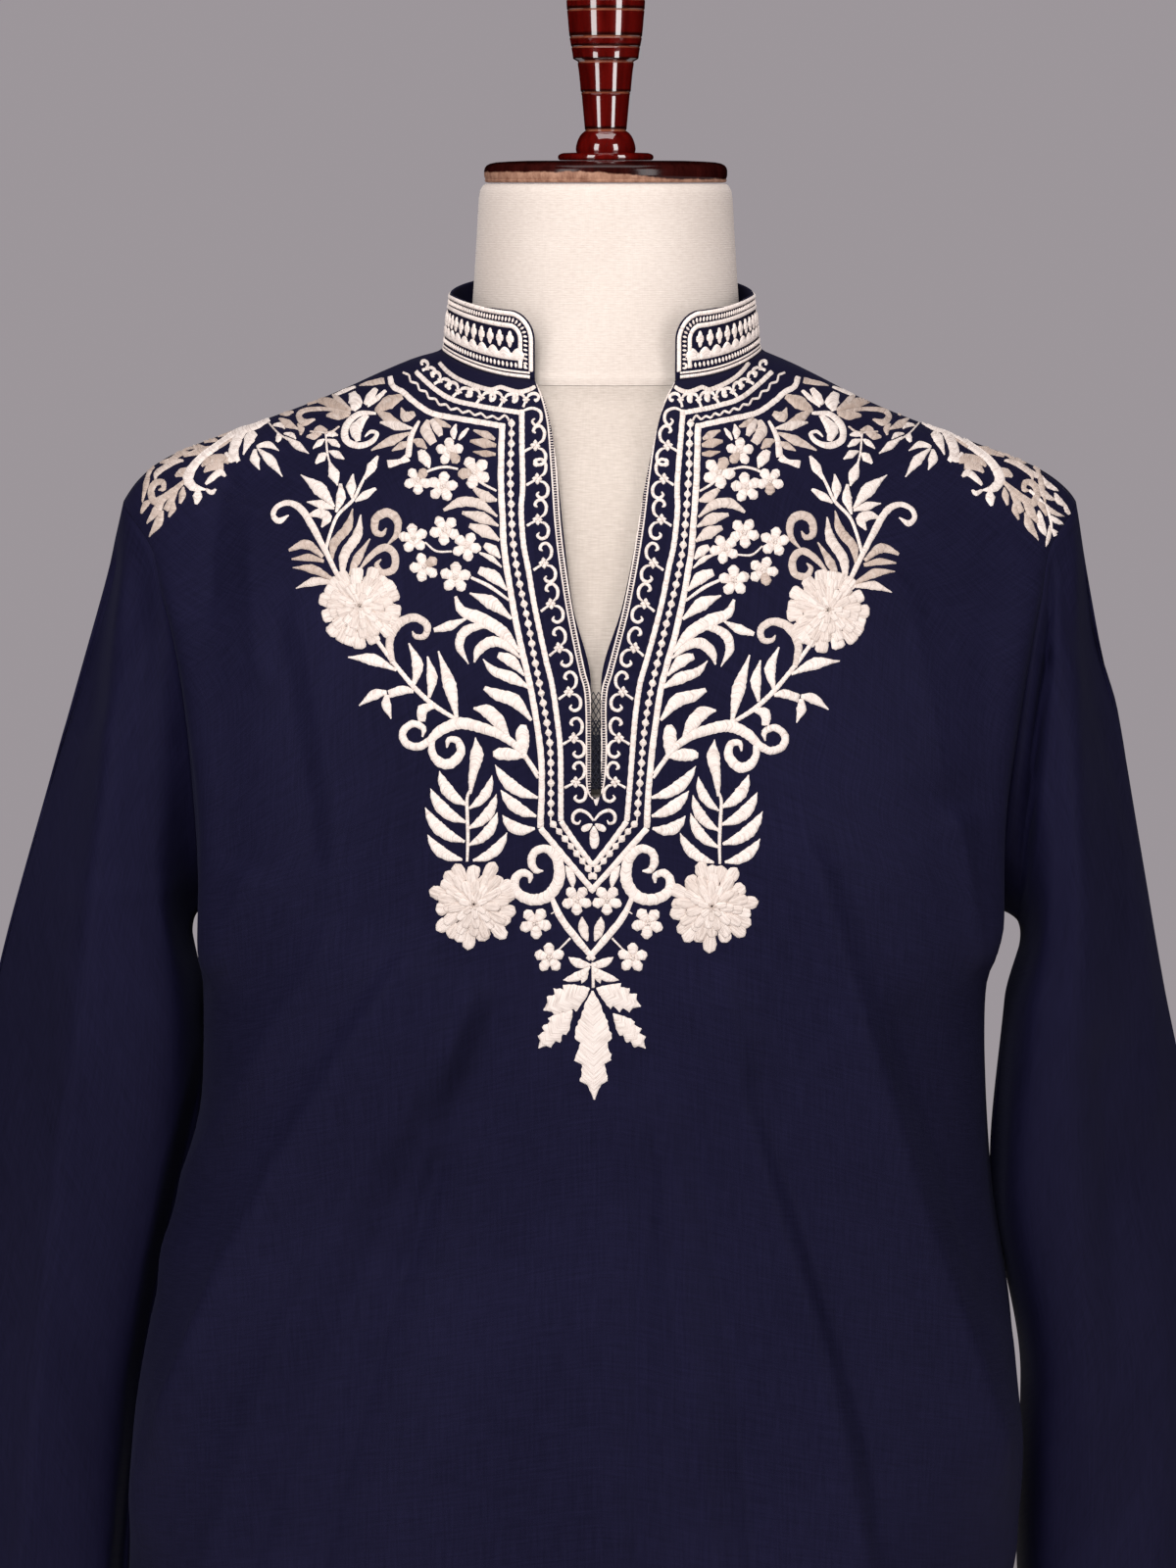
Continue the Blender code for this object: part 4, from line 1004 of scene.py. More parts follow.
def thread_material(name="ivory_satin_thread", light_gain=1.0):
    """Rayon satin stitch, cream to beige: fine parallel threads with a silky sheen. The beige is partly painted shade
    and sheen, the gaps between strands hold painted shade, and a gain above 1 makes a brighter copy with painted light.
    """
    m = Nodes(name)
    uv = m.add("ShaderNodeUVMap", uv_map="UVMap").outputs[0]
    # tone mixes cream to beige: partly beige thread, partly painted shade and sheen that follow stitch direction and
    # slope
    tone = m.add("ShaderNodeAttribute", attribute_name="tone", attribute_type="GEOMETRY").outputs["Fac"]
    strand = m.noise(m.scaled(uv, 2600.0, 160.0, 1.0), 1.0, 2.0, 0.6)
    bundle = m.noise(m.scaled(uv, 950.0, 90.0, 1.0), 1.0, 2.0, 0.5)
    fleck = m.noise(m.scaled(uv, 420.0, 420.0, 1.0), 1.0, 2.0, 0.5)
    pale, beige = [k * light_gain for k in (0.790, 0.696, 0.637)], [k * light_gain for k in (0.420, 0.310, 0.245)]
    warm = m.blend(tone, (*pale, 1), (*beige, 1))
    dark = m.blend(tone, (0.440 * light_gain, 0.355 * light_gain, 0.310 * light_gain, 1), (0.200, 0.140, 0.110, 1))
    # the colour between strands and bundles is pulled toward dark: painted shade in the gaps of the stitch
    gap = m.remap(m.math("ADD", m.math("MULTIPLY", strand, 0.6), m.math("MULTIPLY", bundle, 0.4)),
                  0.36, 0.54, 1.0, 0.0)
    colour = m.blend(m.math("MULTIPLY", gap, 0.75), warm, dark)
    colour = m.blend(m.remap(fleck, 0.5, 0.75, 0.0, 0.30), colour, (0.80, 0.73, 0.67, 1))
    m.put(m.shader.inputs["Base Color"], colour)
    m.put(m.shader.inputs["Roughness"], m.remap(strand, 0.3, 0.7, 0.38, 0.55))
    m.shader.inputs["Specular IOR Level"].default_value = 0.35
    m.shader.inputs["Sheen Weight"].default_value = 0.15
    m.shader.inputs["Sheen Roughness"].default_value = 0.35
    m.put(m.shader.inputs["Normal"],
          m.bump(m.math("ADD", strand, m.math("MULTIPLY", bundle, 1.2)), 0.55, 0.00022))
    return m.mat


THREAD = thread_material()
# the collar's thread is the same thread made brighter: painted light
COLLAR_THREAD_LIT = thread_material("ivory_thread_lit_collar", 1.22)
_front_v, _front_f, _front_uv = MESHES["kurta_front"]
_front_out = _front_v + NORMALS["kurta_front"] * 0.0006
FRONT_TREE = BVHTree.FromPolygons([tuple(p) for p in _front_out], faces_list(_front_f))
EYE = Vector(CAM)


def on_front(uv):
    """Points and normals of the front panel behind chart points; misses are not-a-number."""
    shape = uv.shape[:-1]
    flat = uv.reshape(-1, 2)
    P = np.full((len(flat), 3), np.nan)
    N = np.zeros((len(flat), 3))
    for k, (u, v) in enumerate(flat):
        hit, n, _i, _d = FRONT_TREE.ray_cast(EYE, ray(u, v))
        if hit is not None:
            P[k] = hit
            N[k] = n if n.y < 0.2 else (0, -1, 0)
    return P.reshape(shape + (3,)), N.reshape(shape + (3,))


def on_collar(sh):
    s, h = sh[..., 0], sh[..., 1]
    total = NECK_RUN[-1]
    s = np.clip(s, 0.0002, total - 0.0002)
    h = np.clip(h, 0.0, COLLAR_H)
    P = collar_points(s, h)
    e = 0.0004
    a = collar_points(np.clip(s + e, 0, total), h) - collar_points(np.clip(s - e, 0, total), h)
    b = collar_points(s, h + e) - collar_points(s, h - e)
    n = np.cross(a, b)
    n /= np.linalg.norm(n, axis=-1)[..., None]
    flat = P.copy()
    flat[..., 2] = 0
    n *= np.sign((n * flat).sum(-1))[..., None]
    return P + n * 0.0006, n


def curve(points, values, step):
    """A smooth curve through points, with values carried along, at even steps."""
    p = np.array(points, float)
    w = np.array(values, float)
    if len(p) == 2:
        p = np.array([p[0], (p[0] + p[1]) / 2, p[1]])
        w = np.array([w[0], (w[0] + w[1]) / 2, w[1]])
    q = np.concatenate([[2 * p[0] - p[1]], p, [2 * p[-1] - p[-2]]])
    out, val = [], []
    for k in range(len(p) - 1):
        a, b, c, d = q[k:k + 4]
        n = max(2, int(math.ceil(np.linalg.norm(c - b) / step)))
        t = np.linspace(0, 1, n, endpoint=False)[:, None]
        out.append(0.5 * (2 * b + (c - a) * t + (2 * a - 5 * b + 4 * c - d) * t ** 2
                          + (3 * b - a - 3 * c + d) * t ** 3))
        s = smooth(t[:, 0])
        val.append(mix(w[k], w[k + 1], 0.5 * s + 0.5 * t[:, 0]))
    out.append(p[-1:])
    val.append(w[-1:])
    return np.concatenate(out), np.concatenate(val)


class Stitches:
    """Collects padded strips into one mesh."""

    def __init__(self, name, mapper, unit):
        self.name, self.mapper, self.unit = name, mapper, unit
        self.strips = []
        self.seed = 1.0

    def strip(self, points, widths, tone=0.0, height=None, lift=0.0, along=False, groove=0.0,
              teeth=None, slant=0.5, sheen_tone_far_half=None):
        widest = max(widths)
        step = min(3.2, max(1.1, widest * 0.55)) * (PX / self.unit)
        c, w = curve(points, widths, step)
        if len(c) < 4:
            c, w = curve(points, widths, step / 2)
        d = np.gradient(c, axis=0)
        d /= np.maximum(1e-9, np.linalg.norm(d, axis=1))[:, None]
        side = np.stack([-d[:, 1], d[:, 0]], -1)
        run = np.concatenate([[0], np.cumsum(np.linalg.norm(np.diff(c, axis=0), axis=1))])
        self.seed += 1.7
        rough = 1 + 0.06 * np.sin(run * 2.9 * self.unit / PX + self.seed)
        left = w * rough
        right = w * (1 + 0.06 * np.sin(run * 3.3 * self.unit / PX + 2 * self.seed))
        if teeth:
            count, deep = teeth
            saw = (run / run[-1] * count) % 1.0
            cut = 1 - deep * saw ** 1.5
            left, right = left * cut, right * cut
        m = 7 if widest * self.unit > 0.0020 else 5
        t = np.linspace(-1, 1, m)
        offset = np.where(t[None, :] < 0, t[None, :] * left[:, None], t[None, :] * right[:, None])
        uv = c[:, None, :] + side[:, None, :] * offset[..., None]
        if height is None:
            height = 0.00042 + 0.20 * min(widest * self.unit, 0.0035)
        dome = np.sqrt(np.maximum(0, 1 - t ** 2))[None, :] ** 0.8
        thin = np.minimum(1, w / max(1e-9, widest * 0.55))[:, None] ** 0.6
        h = height * dome * thin
        if groove:
            h = h * (1 - groove * np.exp(-(t[None, :] / 0.16) ** 2))
        h = h + lift * (np.abs(t)[None, :] < 0.999)
        h = np.where(np.abs(t)[None, :] > 0.999, -0.00010 + lift * 0.5, h)
        h[0, :] = np.minimum(h[0, :], 0.0001 + lift * 0.5)
        h[-1, :] = np.minimum(h[-1, :], 0.0001 + lift * 0.5)
        a = run[:, None] * self.unit + 0 * t[None, :]
        b = offset * self.unit
        st = np.stack([b, a], -1) if along else np.stack([a + slant * np.abs(b), b], -1)
        st = st + (self.seed * 0.37) % 5.0
        tones = np.full(uv.shape[:2], float(tone))
        # a second tone for the far half of a strip paints sheen by stitch direction
        if sheen_tone_far_half is not None:
            tones = mix(tone, sheen_tone_far_half, (t[None, :] + 1) / 2) + 0 * tones
        self.strips.append((uv, h, st, np.clip(tones, 0, 1)))

    def leaf(self, base, tip, w, bend=0.0, tone=0.0, blunt=False, lift=0.0, teeth=None, sheen_tone_far_half=None, groove=0.30):
        """A leaf from its base to its tip; bend is how far the middle swings, as a share of its length."""
        b, t = np.array(base, float), np.array(tip, float)
        d = t - b
        n = np.array([-d[1], d[0]])
        pts = [b, b + d * 0.28 + n * bend * 0.8, b + d * 0.55 + n * bend, b + d * 0.8 + n * bend * 0.62, t]
        ws = [w * 0.22, w * 0.82, w, w * (0.92 if blunt else 0.66), w * (0.45 if blunt else 0.06)]
        self.strip(pts, ws, tone, lift=lift, groove=groove, teeth=teeth, sheen_tone_far_half=sheen_tone_far_half)

    def dot(self, c, r, tone=0.0, lift=0.0, long=1.0, angle=0.0):
        c = np.array(c, float)
        d = np.array([math.cos(angle), math.sin(angle)]) * r * long
        self.strip([c - d, c - d * 0.5, c, c + d * 0.5, c + d], [r * 0.08, r * 0.7, r, r * 0.7, r * 0.08],
                   tone, lift=lift)

    def flower(self, c, r, turn=0.0, tone=0.05, petals=5, odd=None):
        c = np.array(c, float)
        for k in range(petals):
            a = turn + 2 * math.pi * k / petals
            d = np.array([math.cos(a), math.sin(a)])
            dark = tone + (0.75 if odd is not None and k in odd else 0.0)
            self.strip([c + d * r * 0.12, c + d * r * 0.42, c + d * r * 0.74, c + d * r],
                       [r * 0.14, r * 0.31, r * 0.37, r * 0.13], dark, height=0.0011, groove=0.25, slant=0.2)
        for k in range(3):
            a = turn + 0.9 + 2 * math.pi * k / 3
            self.dot(c + np.array([math.cos(a), math.sin(a)]) * r * 0.10, r * 0.12, 0.25, lift=0.0008, angle=a)

    def rosette(self, c, r, spiky, turn=0.0):
        c = np.array(c, float)
        layers = [(18, 1.00, 0.60, 0.165, 0.0), (15, 0.80, 0.36, 0.150, 0.0006), (11, 0.58, 0.14, 0.135, 0.0012),
                  (7, 0.34, 0.02, 0.105, 0.0017)]
        for n, (count, outer, inner, w, lift) in enumerate(layers):
            for k in range(count):
                a = turn + 2 * math.pi * (k + 0.5 * (n % 2)) / count + 0.11 * math.sin(5.1 * k + 2 * n)
                d = np.array([math.cos(a), math.sin(a)])
                far = r * outer * (1 + (0.10 if spiky else 0.035) * math.sin(3.7 * k + n))
                tip = 0.10 if spiky else 0.62
                tone = 0.14 + 0.20 * (0.5 + 0.5 * math.sin(2.3 * k + 1.1 * n)) + (0.22 if n == 1 and k % 5 == 2 else 0)
                self.strip([c + d * r * inner, c + d * (r * inner * 0.45 + far * 0.55),
                            c + d * (r * inner * 0.15 + far * 0.85), c + d * far],
                           [r * w * 0.7, r * w * 1.02, r * w * (0.80 if spiky else 1.0), r * w * tip],
                           tone, height=0.0010, lift=lift, along=True, groove=0.35)
        for k in range(6):
            a = turn + k * 1.05
            self.dot(c + np.array([math.cos(a), math.sin(a)]) * r * 0.085, r * 0.055, 0.5, lift=0.0022, angle=a)

    def build(self, mats):
        verts, faces, uvs, tones, count = [], [], [], [], 0
        for uv, h, st, tone in self.strips:
            P, N = self.mapper(uv)
            bad = np.isnan(P[..., 0])
            if bad.all():
                continue
            P = np.where(bad[..., None], 0, P) + N * h[..., None]
            rows, cols = uv.shape[:2]
            # A strip never jumps across a gap in the cloth.
            q = quads_of(rows, cols)
            flat = P.reshape(-1, 3)
            lost = bad.reshape(-1)[q].any(1)
            span = np.linalg.norm(flat[q] - flat[q][:, :1], axis=-1).max(1)
            q = q[~lost & (span < 0.030)]
            if not len(q):
                continue
            verts.append(flat)
            faces.append(q + count)
            uvs.append(st.reshape(-1, 2))
            tones.append(tone.reshape(-1))
            count += len(flat)
        v = np.concatenate(verts)
        f = np.concatenate(faces)
        uv = np.concatenate(uvs)
        tone = np.concatenate(tones)
        used = np.unique(f)
        new = np.full(len(v), -1)
        new[used] = np.arange(len(used))
        f = new[f]
        v, uv, tone = v[used], uv[used], tone[used]
        # outward faces
        fn = face_normals(v, f)
        flip = fn[:, 1] > 0 if self.mapper is on_front else None
        if flip is None:
            mid = v[f].mean(1)
            mid[:, 2] = 0
            flip = (fn * mid).sum(1) < 0
        f[flip] = f[flip][:, ::-1]
        ob = new_object(self.name, v, f.tolist(), mats, uv)
        attr = ob.data.attributes.new("tone", "FLOAT", "POINT")
        attr.data.foreach_set("value", tone.astype(np.float32))
        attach(ob, "root")
        return ob


MIDDLE = Table("v x", [(380, 618.7), (430, 615.0), (520, 612.0), (620, 610.0), (710, 608.0), (763, 608.6),
                       (836, 606.0), (883, 605.0), (920, 604.0), (980, 603.0), (1130, 604.0)])


class Both:
    """Draws on the picture's left, and the mirror image on its right."""

    def __init__(self, target, x0=0.0, y0=0.0, k=1.0, sides=(1, -1)):
        self.t, self.x0, self.y0, self.k, self.sides = target, x0, y0, k, sides

    def at(self, p, side):
        u, v = self.x0 + p[0] / self.k, self.y0 + p[1] / self.k
        if side > 0:
            return (u, v)
        far = smooth((abs(float(MIDDLE.at(v, "x")) - u) - 60) / 120)
        mid = mix(float(MIDDLE.at(v, "x")), 606.0, far)
        return (2 * mid - u, v + 4.0 * float(smooth((v - 470) / 100.0)) * float(far))

    def strip(self, points, widths, tone=0.0, **more):
        for s in self.sides:
            self.t.strip([self.at(p, s) for p in points], [w / self.k for w in widths], tone, **more)

    def leaf(self, base, tip, w, bend=0.0, tone=0.0, **more):
        for s in self.sides:
            self.t.leaf(self.at(base, s), self.at(tip, s), w / self.k, bend * s, tone, **more)

    def flower(self, c, r, turn=0.0, odd=None):
        for s in self.sides:
            self.t.flower(self.at(c, s), r / self.k, turn if s > 0 else math.pi - turn, odd=odd)

    def rosette(self, c, r, spiky, turn=0.0):
        for s in self.sides:
            self.t.rosette(self.at(c, s), r / self.k, spiky, turn if s > 0 else math.pi - turn)

    def dot(self, c, r, tone=0.0, long=1.0, angle=0.0, **more):
        for s in self.sides:
            self.t.dot(self.at(c, s), r / self.k, tone, long=long, angle=angle if s > 0 else math.pi - angle, **more)


def along_path(points, pitch, start=0.0):
    """Points and headings at even steps along a smooth path."""
    c, _w = curve(points, [1] * len(points), 1.0)
    run = np.concatenate([[0], np.cumsum(np.linalg.norm(np.diff(c, axis=0), axis=1))])
    out = []
    s = start
    while s < run[-1]:
        p = [np.interp(s, run, c[:, 0]), np.interp(s, run, c[:, 1])]
        q = [np.interp(s + 1.5, run, c[:, 0]), np.interp(s + 1.5, run, c[:, 1])]
        o = [np.interp(s - 1.5, run, c[:, 0]), np.interp(s - 1.5, run, c[:, 1])]
        out.append((p, math.atan2(q[1] - o[1], q[0] - o[0])))
        s += pitch
    return out


def shifted(points, distance):
    """A path drawn to one side."""
    c, _w = curve(points, [1] * len(points), 3.0)
    d = np.gradient(c, axis=0)
    d /= np.linalg.norm(d, axis=1)[:, None]
    c = c + np.stack([-d[:, 1], d[:, 0]], -1) * distance
    return [tuple(p) for p in c]


bands = Stitches("embroidery_bands", on_front, PX)
sprays = Stitches("embroidery_sprays", on_front, PX)
flowers = Stitches("embroidery_flowers", on_front, PX)

# --- bands round the slit and along the yoke -----------------------------
E = Both(bands)
L1 = [(424, 379), (436.8, 391), (445.3, 398), (455, 404.5), (467, 409.5), (483, 413), (498, 416), (514.7, 418.5),
      (531, 421)]
L1_DOWN = [(532.4, 418), (532.6, 460), (533.4, 496), (531.8, 517), (532.6, 538), (534.7, 559), (538.9, 580),
           (544.2, 612), (550.5, 643), (557.5, 675), (563.1, 698), (568, 730), (571.6, 763), (572.2, 800),
           (572.2, 838), (605.3, 884)]
L2 = [(397.6, 384), (401, 394), (411.8, 400.4), (420, 407.9), (432.6, 417.3), (441, 421.6), (451.6, 424.3),
      (472.6, 427.9), (493.7, 431.4), (514, 435)]
L2_DOWN = [(512.4, 432), (511.4, 464), (511.2, 496), (512.8, 528), (514.3, 559), (518.9, 591), (524.2, 622),
           (530.5, 654), (537, 682), (542, 705), (548, 740), (552.2, 773), (552.6, 810), (551.4, 845), (606.5, 910)]
E.strip(L1, [2.7] * len(L1))
E.strip(L1_DOWN[:-1], [3.0] * (len(L1_DOWN) - 1))
E.strip([L1_DOWN[-2], (588, 861), L1_DOWN[-1]], [3.0, 3.0, 2.9])
E.strip(L2, [3.1] * len(L2))
E.strip(L2_DOWN[:-1], [3.4] * (len(L2_DOWN) - 1))
E.strip([L2_DOWN[-2], (578, 877), L2_DOWN[-1]], [3.4, 3.4, 3.0])
TOP_WAVE = [(448, 370), (455.8, 378.4), (464.2, 384.7), (472.6, 389), (483, 393), (493.7, 396.3), (502, 397.6),
            (510.5, 395), (518.9, 397.6), (529.4, 400), (540, 397.6), (546.2, 394.2)]
E.strip(TOP_WAVE, [2.2, 2.4, 2.4, 2.5, 2.6, 2.6, 2.5, 2.3, 2.5, 2.6, 2.4, 2.0], 0.15)

CORD = [(549.5, 389), (556.8, 411), (561.4, 433), (564.0, 464), (566.3, 496), (568.4, 528), (571.6, 559),
        (576.0, 591), (581.0, 622), (587.3, 654), (594.2, 686), (598.8, 703), (600.6, 725), (600.9, 760),
        (601.0, 795), (602.8, 808), (607.2, 814)]
for offset in (-2.4, 2.4):
    line = shifted(CORD, offset)
    E.strip(line, [0.95] * len(line), height=0.0005)
for p, a in along_path(CORD, 2.7):
    n = (-math.sin(a) * 2.2, math.cos(a) * 2.2)
    E.strip([(p[0] - n[0], p[1] - n[1]), (p[0] + n[0], p[1] + n[1])], [0.50, 0.50], 0.1, height=0.0004)
bands.strip([(608.3, 812), (608.5, 822)], [4.0, 1.2])

CHAIN = [(522, 428), (521.6, 460), (520.6, 477), (521.4, 510), (522.7, 542), (525, 565), (529, 589), (534.3, 614),
         (540, 641.5), (545.2, 671), (550.5, 698), (557.4, 734), (561.4, 763), (562.2, 800), (562, 838)]
for path, pitch in ((CHAIN, 10.3), ([(562, 838), (583, 864), (606, 894)], 9.6)):
    E.strip(path, [0.8] * len(path), height=0.0004)
    for n, (p, a) in enumerate(along_path(path, pitch, 4.0)):
        E.dot(p, 3.8 if n % 2 else 4.1, 0.12, long=1.15, angle=a)
YOKE_CHAIN = [(412, 379), (420, 388), (430, 397.5), (440, 406), (450, 412), (462, 417), (476, 420.4), (490, 423.2),
              (505, 426.4), (516, 425.6), (522, 430)]
wavy = []
for n, (p, a) in enumerate(along_path(YOKE_CHAIN, 3.1)):
    swing = (1.5, 0, -1.5, 0)[n % 4]
    wavy.append((p[0] - math.sin(a) * swing, p[1] + math.cos(a) * swing))
E.strip(wavy, [1.25] * len(wavy), 0.1)


def scroll_unit(at, angle, size=1.0, flip=1, bar=True):
    """Two small open scrolls, a four-lobed bud between them and a bar to the band."""
    c, s = math.cos(angle), math.sin(angle)

    def put(x, y):
        x, y = x * size * flip / 4.75, y * size / 4.75
        return (at[0] + x * c - y * s, at[1] + x * s + y * c)

    E.strip([put(2, -62), (put(-10, -74)), put(2, -94), put(28, -96), put(46, -66), put(38, -28), put(12, -8)],
            [0.9, 1.9, 1.7, 1.7, 1.9, 1.7, 0.9])
    E.strip([put(12, 14), put(36, 22), put(52, 50), put(44, 86), put(16, 98), put(-4, 82), put(6, 66)],
            [0.9, 1.6, 1.9, 1.8, 1.8, 1.7, 0.8])
    for x, y in ((0, -20), (0, 20), (-16, -2), (14, 2)):
        E.dot(put(x * 0.8, y * 0.8), 2.5 * size, 0.05, long=1.15, angle=math.atan2(y, x * flip) + angle)
    if bar:
        E.strip([put(-12, 8), put(-34, 18), put(-56, 30)], [1.2, 1.4, 1.6])


for u, v, lean in ((546.3, 454.5, 0.0), (548.2, 488.5, -0.04), (548.6, 530.0, -0.04), (554.9, 574.5, -0.12),
                   (562.0, 616.0, -0.18), (570.2, 661.0, -0.22), (580.4, 706.0, -0.14), (585.4, 753.0, -0.05),
                   (587.4, 798.0, 0.0)):
    scroll_unit((u, v), lean, 0.96)
E.strip([(534, 419), (543, 416.5), (551, 420), (552, 428), (547, 434), (543, 430), (546, 427)],
        [1.2, 1.6, 1.8, 1.8, 1.7, 1.4, 0.7])
for u, v, lean, size in ((537, 408, 1.50, 0.62), (514, 408, 1.62, 0.66), (491, 405.5, 1.74, 0.66),
                         (468, 399.5, 1.92, 0.62), (449, 388.5, 2.15, 0.52), (436, 376, 2.3, 0.42)):
    scroll_unit((u, v), lean, size, flip=-1)

# --- foot of the design --------------------------------------------------
F = Both(sprays, 420, 740, 4.0227)
G = Both(flowers, 420, 740, 4.0227)
F.strip([(747, 392), (722, 362), (688, 350), (664, 368), (664, 396), (684, 404), (694, 390)],
        [5, 7, 8, 8, 7, 6, 3])
F.leaf((742, 406), (698, 432), 15, blunt=True)
sprays.leaf((606.1, 843), (606.4, 866), 5.2, blunt=True)
F.strip([(540, 598), (510, 596), (492, 562), (506, 520), (555, 508), (598, 552), (604, 634), (560, 700), (492, 716),
         (432, 686), (424, 636), (452, 606), (486, 618), (484, 648)],
        [4, 14, 18, 17, 18, 22, 25, 25, 24, 22, 19, 17, 14, 5], tone=0.05)
F.leaf((662, 668), (632, 576), 18, 0.08)
F.strip([(572, 700), (612, 790), (684, 884), (750, 962)], [11, 15, 16, 11])
F.leaf((722, 886), (700, 786), 22, -0.06, tone=0.15)
F.strip([(604, 922), (652, 874)], [4, 5])
F.strip([(572, 775), (588, 765)], [3, 3])
F.leaf((736, 984), (644, 952), 20, -0.10)
F.leaf((732, 992), (622, 1046), 20, -0.10)
F.leaf((722, 1000), (698, 1060), 15, tone=0.1)
sprays.strip([(604.9, 982), (605.4, 1008)], [1.6, 1.7])


def saw_leaf(base, tip, wide, tone=0.03):
    """A broad leaf with three pairs of pointed teeth."""
    b, e = np.array(base, float), np.array(tip, float)
    where = (0.0, 0.14, 0.33, 0.44, 0.475, 0.64, 0.675, 0.83, 0.865, 1.0)
    share = (0.06, 0.44, 0.86, 1.0, 0.72, 0.98, 0.60, 0.72, 0.36, 0.05)
    sprays.strip([b + (e - b) * w for w in where], [wide * k for k in share], tone, groove=0.15, slant=0.9)


saw_leaf((601.6, 1008.6), (554.6, 1030.8), 16.0)
saw_leaf((584.0, 1031.0), (549.6, 1069.6), 13.2, 0.06)
saw_leaf((608.6, 1008.4), (653.8, 1026.8), 14.2)
saw_leaf((625.6, 1034.2), (658.6, 1069.8), 11.4, 0.06)
saw_leaf((604.5, 1011.0), (606.4, 1122.0), 20.0, 0.04)
G.flower((678, 718), 62, 0.3, odd=None)
G.flower((508, 812), 66, 1.5)
G.flower((566, 955), 62, 0.9)
G.rosette((256, 735), 176, True, 0.2)
# side sprig over the lower rosette
F.strip([(228, 560), (231, 470), (229, 380), (228, 300), (243, 262)], [6, 7.5, 8, 7, 6])
F.strip([(241, 282), (250, 210), (268, 120), (262, 50)], [6, 17, 29, 2], groove=0.3, tone=0.08)
for bx, by, tx, ty, w, bend in ((226, 328, 114, 188, 27, -0.13), (222, 398, 78, 260, 28, -0.13),
                                (218, 478, 56, 338, 28, -0.13), (208, 552, 66, 450, 25, -0.14)):
    F.leaf((bx, by), (tx, ty), w, bend)
for bx, by, tx, ty, w, bend in ((236, 342, 330, 206, 22, 0.13), (234, 424, 348, 283, 24, 0.13),
                                (236, 492, 352, 358, 24, 0.13), (252, 556, 392, 440, 24, 0.14)):
    F.leaf((bx, by), (tx, ty), w, bend)
# leaves that stand on the outer band, low down
for bx, by, tx, ty, w, bend in ((518, 298, 343, 163, 27, -0.12), (512, 374, 366, 266, 27, -0.10),
                                (506, 424, 373, 369, 27, -0.20)):
    F.leaf((bx, by), (tx, ty), w, bend)
F.strip([(520, 200), (494, 160), (464, 122), (400, 56)], [5, 6, 6, 4])
F.leaf((466, 124), (458, -2), 29, -0.05, blunt=True)
F.leaf((462, 130), (334, 118), 27, 0.04, blunt=True)

# --- leaves and flowers along the outer band -----------------------------
A = Both(sprays, 420, 370, 4.752)
AF = Both(flowers, 420, 370, 4.752)
# tone runs from beige at the top down to cream: partly beige thread, partly painted shade on the slope toward the
# shoulder
for pts, ws, tone in (
        ([(405, 372), (360, 350), (300, 328)], [8, 20, 6], 0.75),
        ([(410, 402), (350, 390), (284, 380)], [10, 25, 8], 0.85),
        ([(408, 444), (360, 442), (298, 432)], [8, 18, 4], 0.95),
        ([(414, 668), (360, 650), (302, 610)], [8, 28, 12], 0.50),
        ([(416, 746), (330, 686), (240, 676), (155, 716)], [6, 24, 26, 8], 0.45),
        ([(422, 792), (340, 752), (245, 728)], [6, 30, 10], 0.45),
        ([(426, 862), (356, 818), (280, 790)], [8, 32, 13], 0.40),
        ([(430, 948), (394, 908), (352, 884)], [6, 26, 15], 0.10),
        ([(437, 992), (384, 948), (328, 922)], [5, 15, 6], 0.10),
        ([(462, 1104), (398, 1038), (326, 1006)], [6, 32, 20], 0.05),
        ([(472, 1152), (376, 1084), (288, 1042)], [7, 10, 8], 0.05),
        ([(484, 1242), (386, 1164), (282, 1118)], [8, 35, 5], 0.05),
        ([(524, 1404), (440, 1306), (334, 1242), (244, 1202), (212, 1134)], [7, 30, 34, 24, 8], 0.02),
        ([(264, 1242), (184, 1276), (108, 1298)], [6, 25, 12], 0.05),
        ([(372, 1286), (326, 1278), (256, 1306), (232, 1374), (276, 1462)], [5, 18, 25, 22, 3], 0.08),
        ([(528, 1432), (452, 1368), (386, 1354), (328, 1392), (304, 1454)], [6, 22, 28, 25, 5], 0.12),
        ([(547, 1518), (482, 1446), (418, 1418)], [6, 31, 17], 0.03),
        ([(568, 1576), (484, 1528), (398, 1494), (346, 1438)], [8, 30, 22, 3], 0.03),
        ([(581, 1735), (500, 1640), (420, 1612), (352, 1578)], [8, 34, 30, 12], 0.03),
        ([(476, 1822), (420, 1740), (366, 1690), (300, 1676)], [6, 34, 34, 6], 0.05),
        # stems of the flower clusters
        ([(35, 556), (90, 522), (160, 506), (226, 516)], [6, 7, 7, 6], 0.08),
        ([(66, 872), (120, 914), (196, 916)], [5, 6, 5], 0.05),
        ([(300, 555), (350, 590), (412, 622)], [5, 7, 6], 0.15),
        # leaves over the top cluster
        ([(206, 372), (204, 336), (216, 298)], [7, 20, 4], 0.05),
        ([(228, 376), (250, 346), (276, 318)], [5, 13, 5], 0.05),
        ([(86, 512), (72, 470), (52, 428)], [6, 24, 14], 0.05),
        ([(108, 392), (70, 330), (80, 278)], [22, 30, 10], 0.45),
        ([(142, 356), (124, 318), (96, 276)], [12, 24, 12], 0.35),
        ([(190, 312), (150, 296), (110, 270)], [6, 16, 10], 0.75)):
    A.strip(pts, ws, tone, groove=0.25)
for n, (x, y, r, turn) in enumerate(((185, 432, 68, 0.9), (304, 532, 80, 0.5), (30, 572, 68, 0.3), (150, 602, 74, 1.1),
                                     (160, 812, 74, 0.4), (8, 852, 72, 0.8), (266, 892, 72, 1.4), (62, 992, 72, 0.6),
                                     (212, 1042, 76, 1.0))):
    AF.flower((x, y), r, turn, odd=((n * 2) % 5, ) if n in (0, 1, 2, 7) else None)

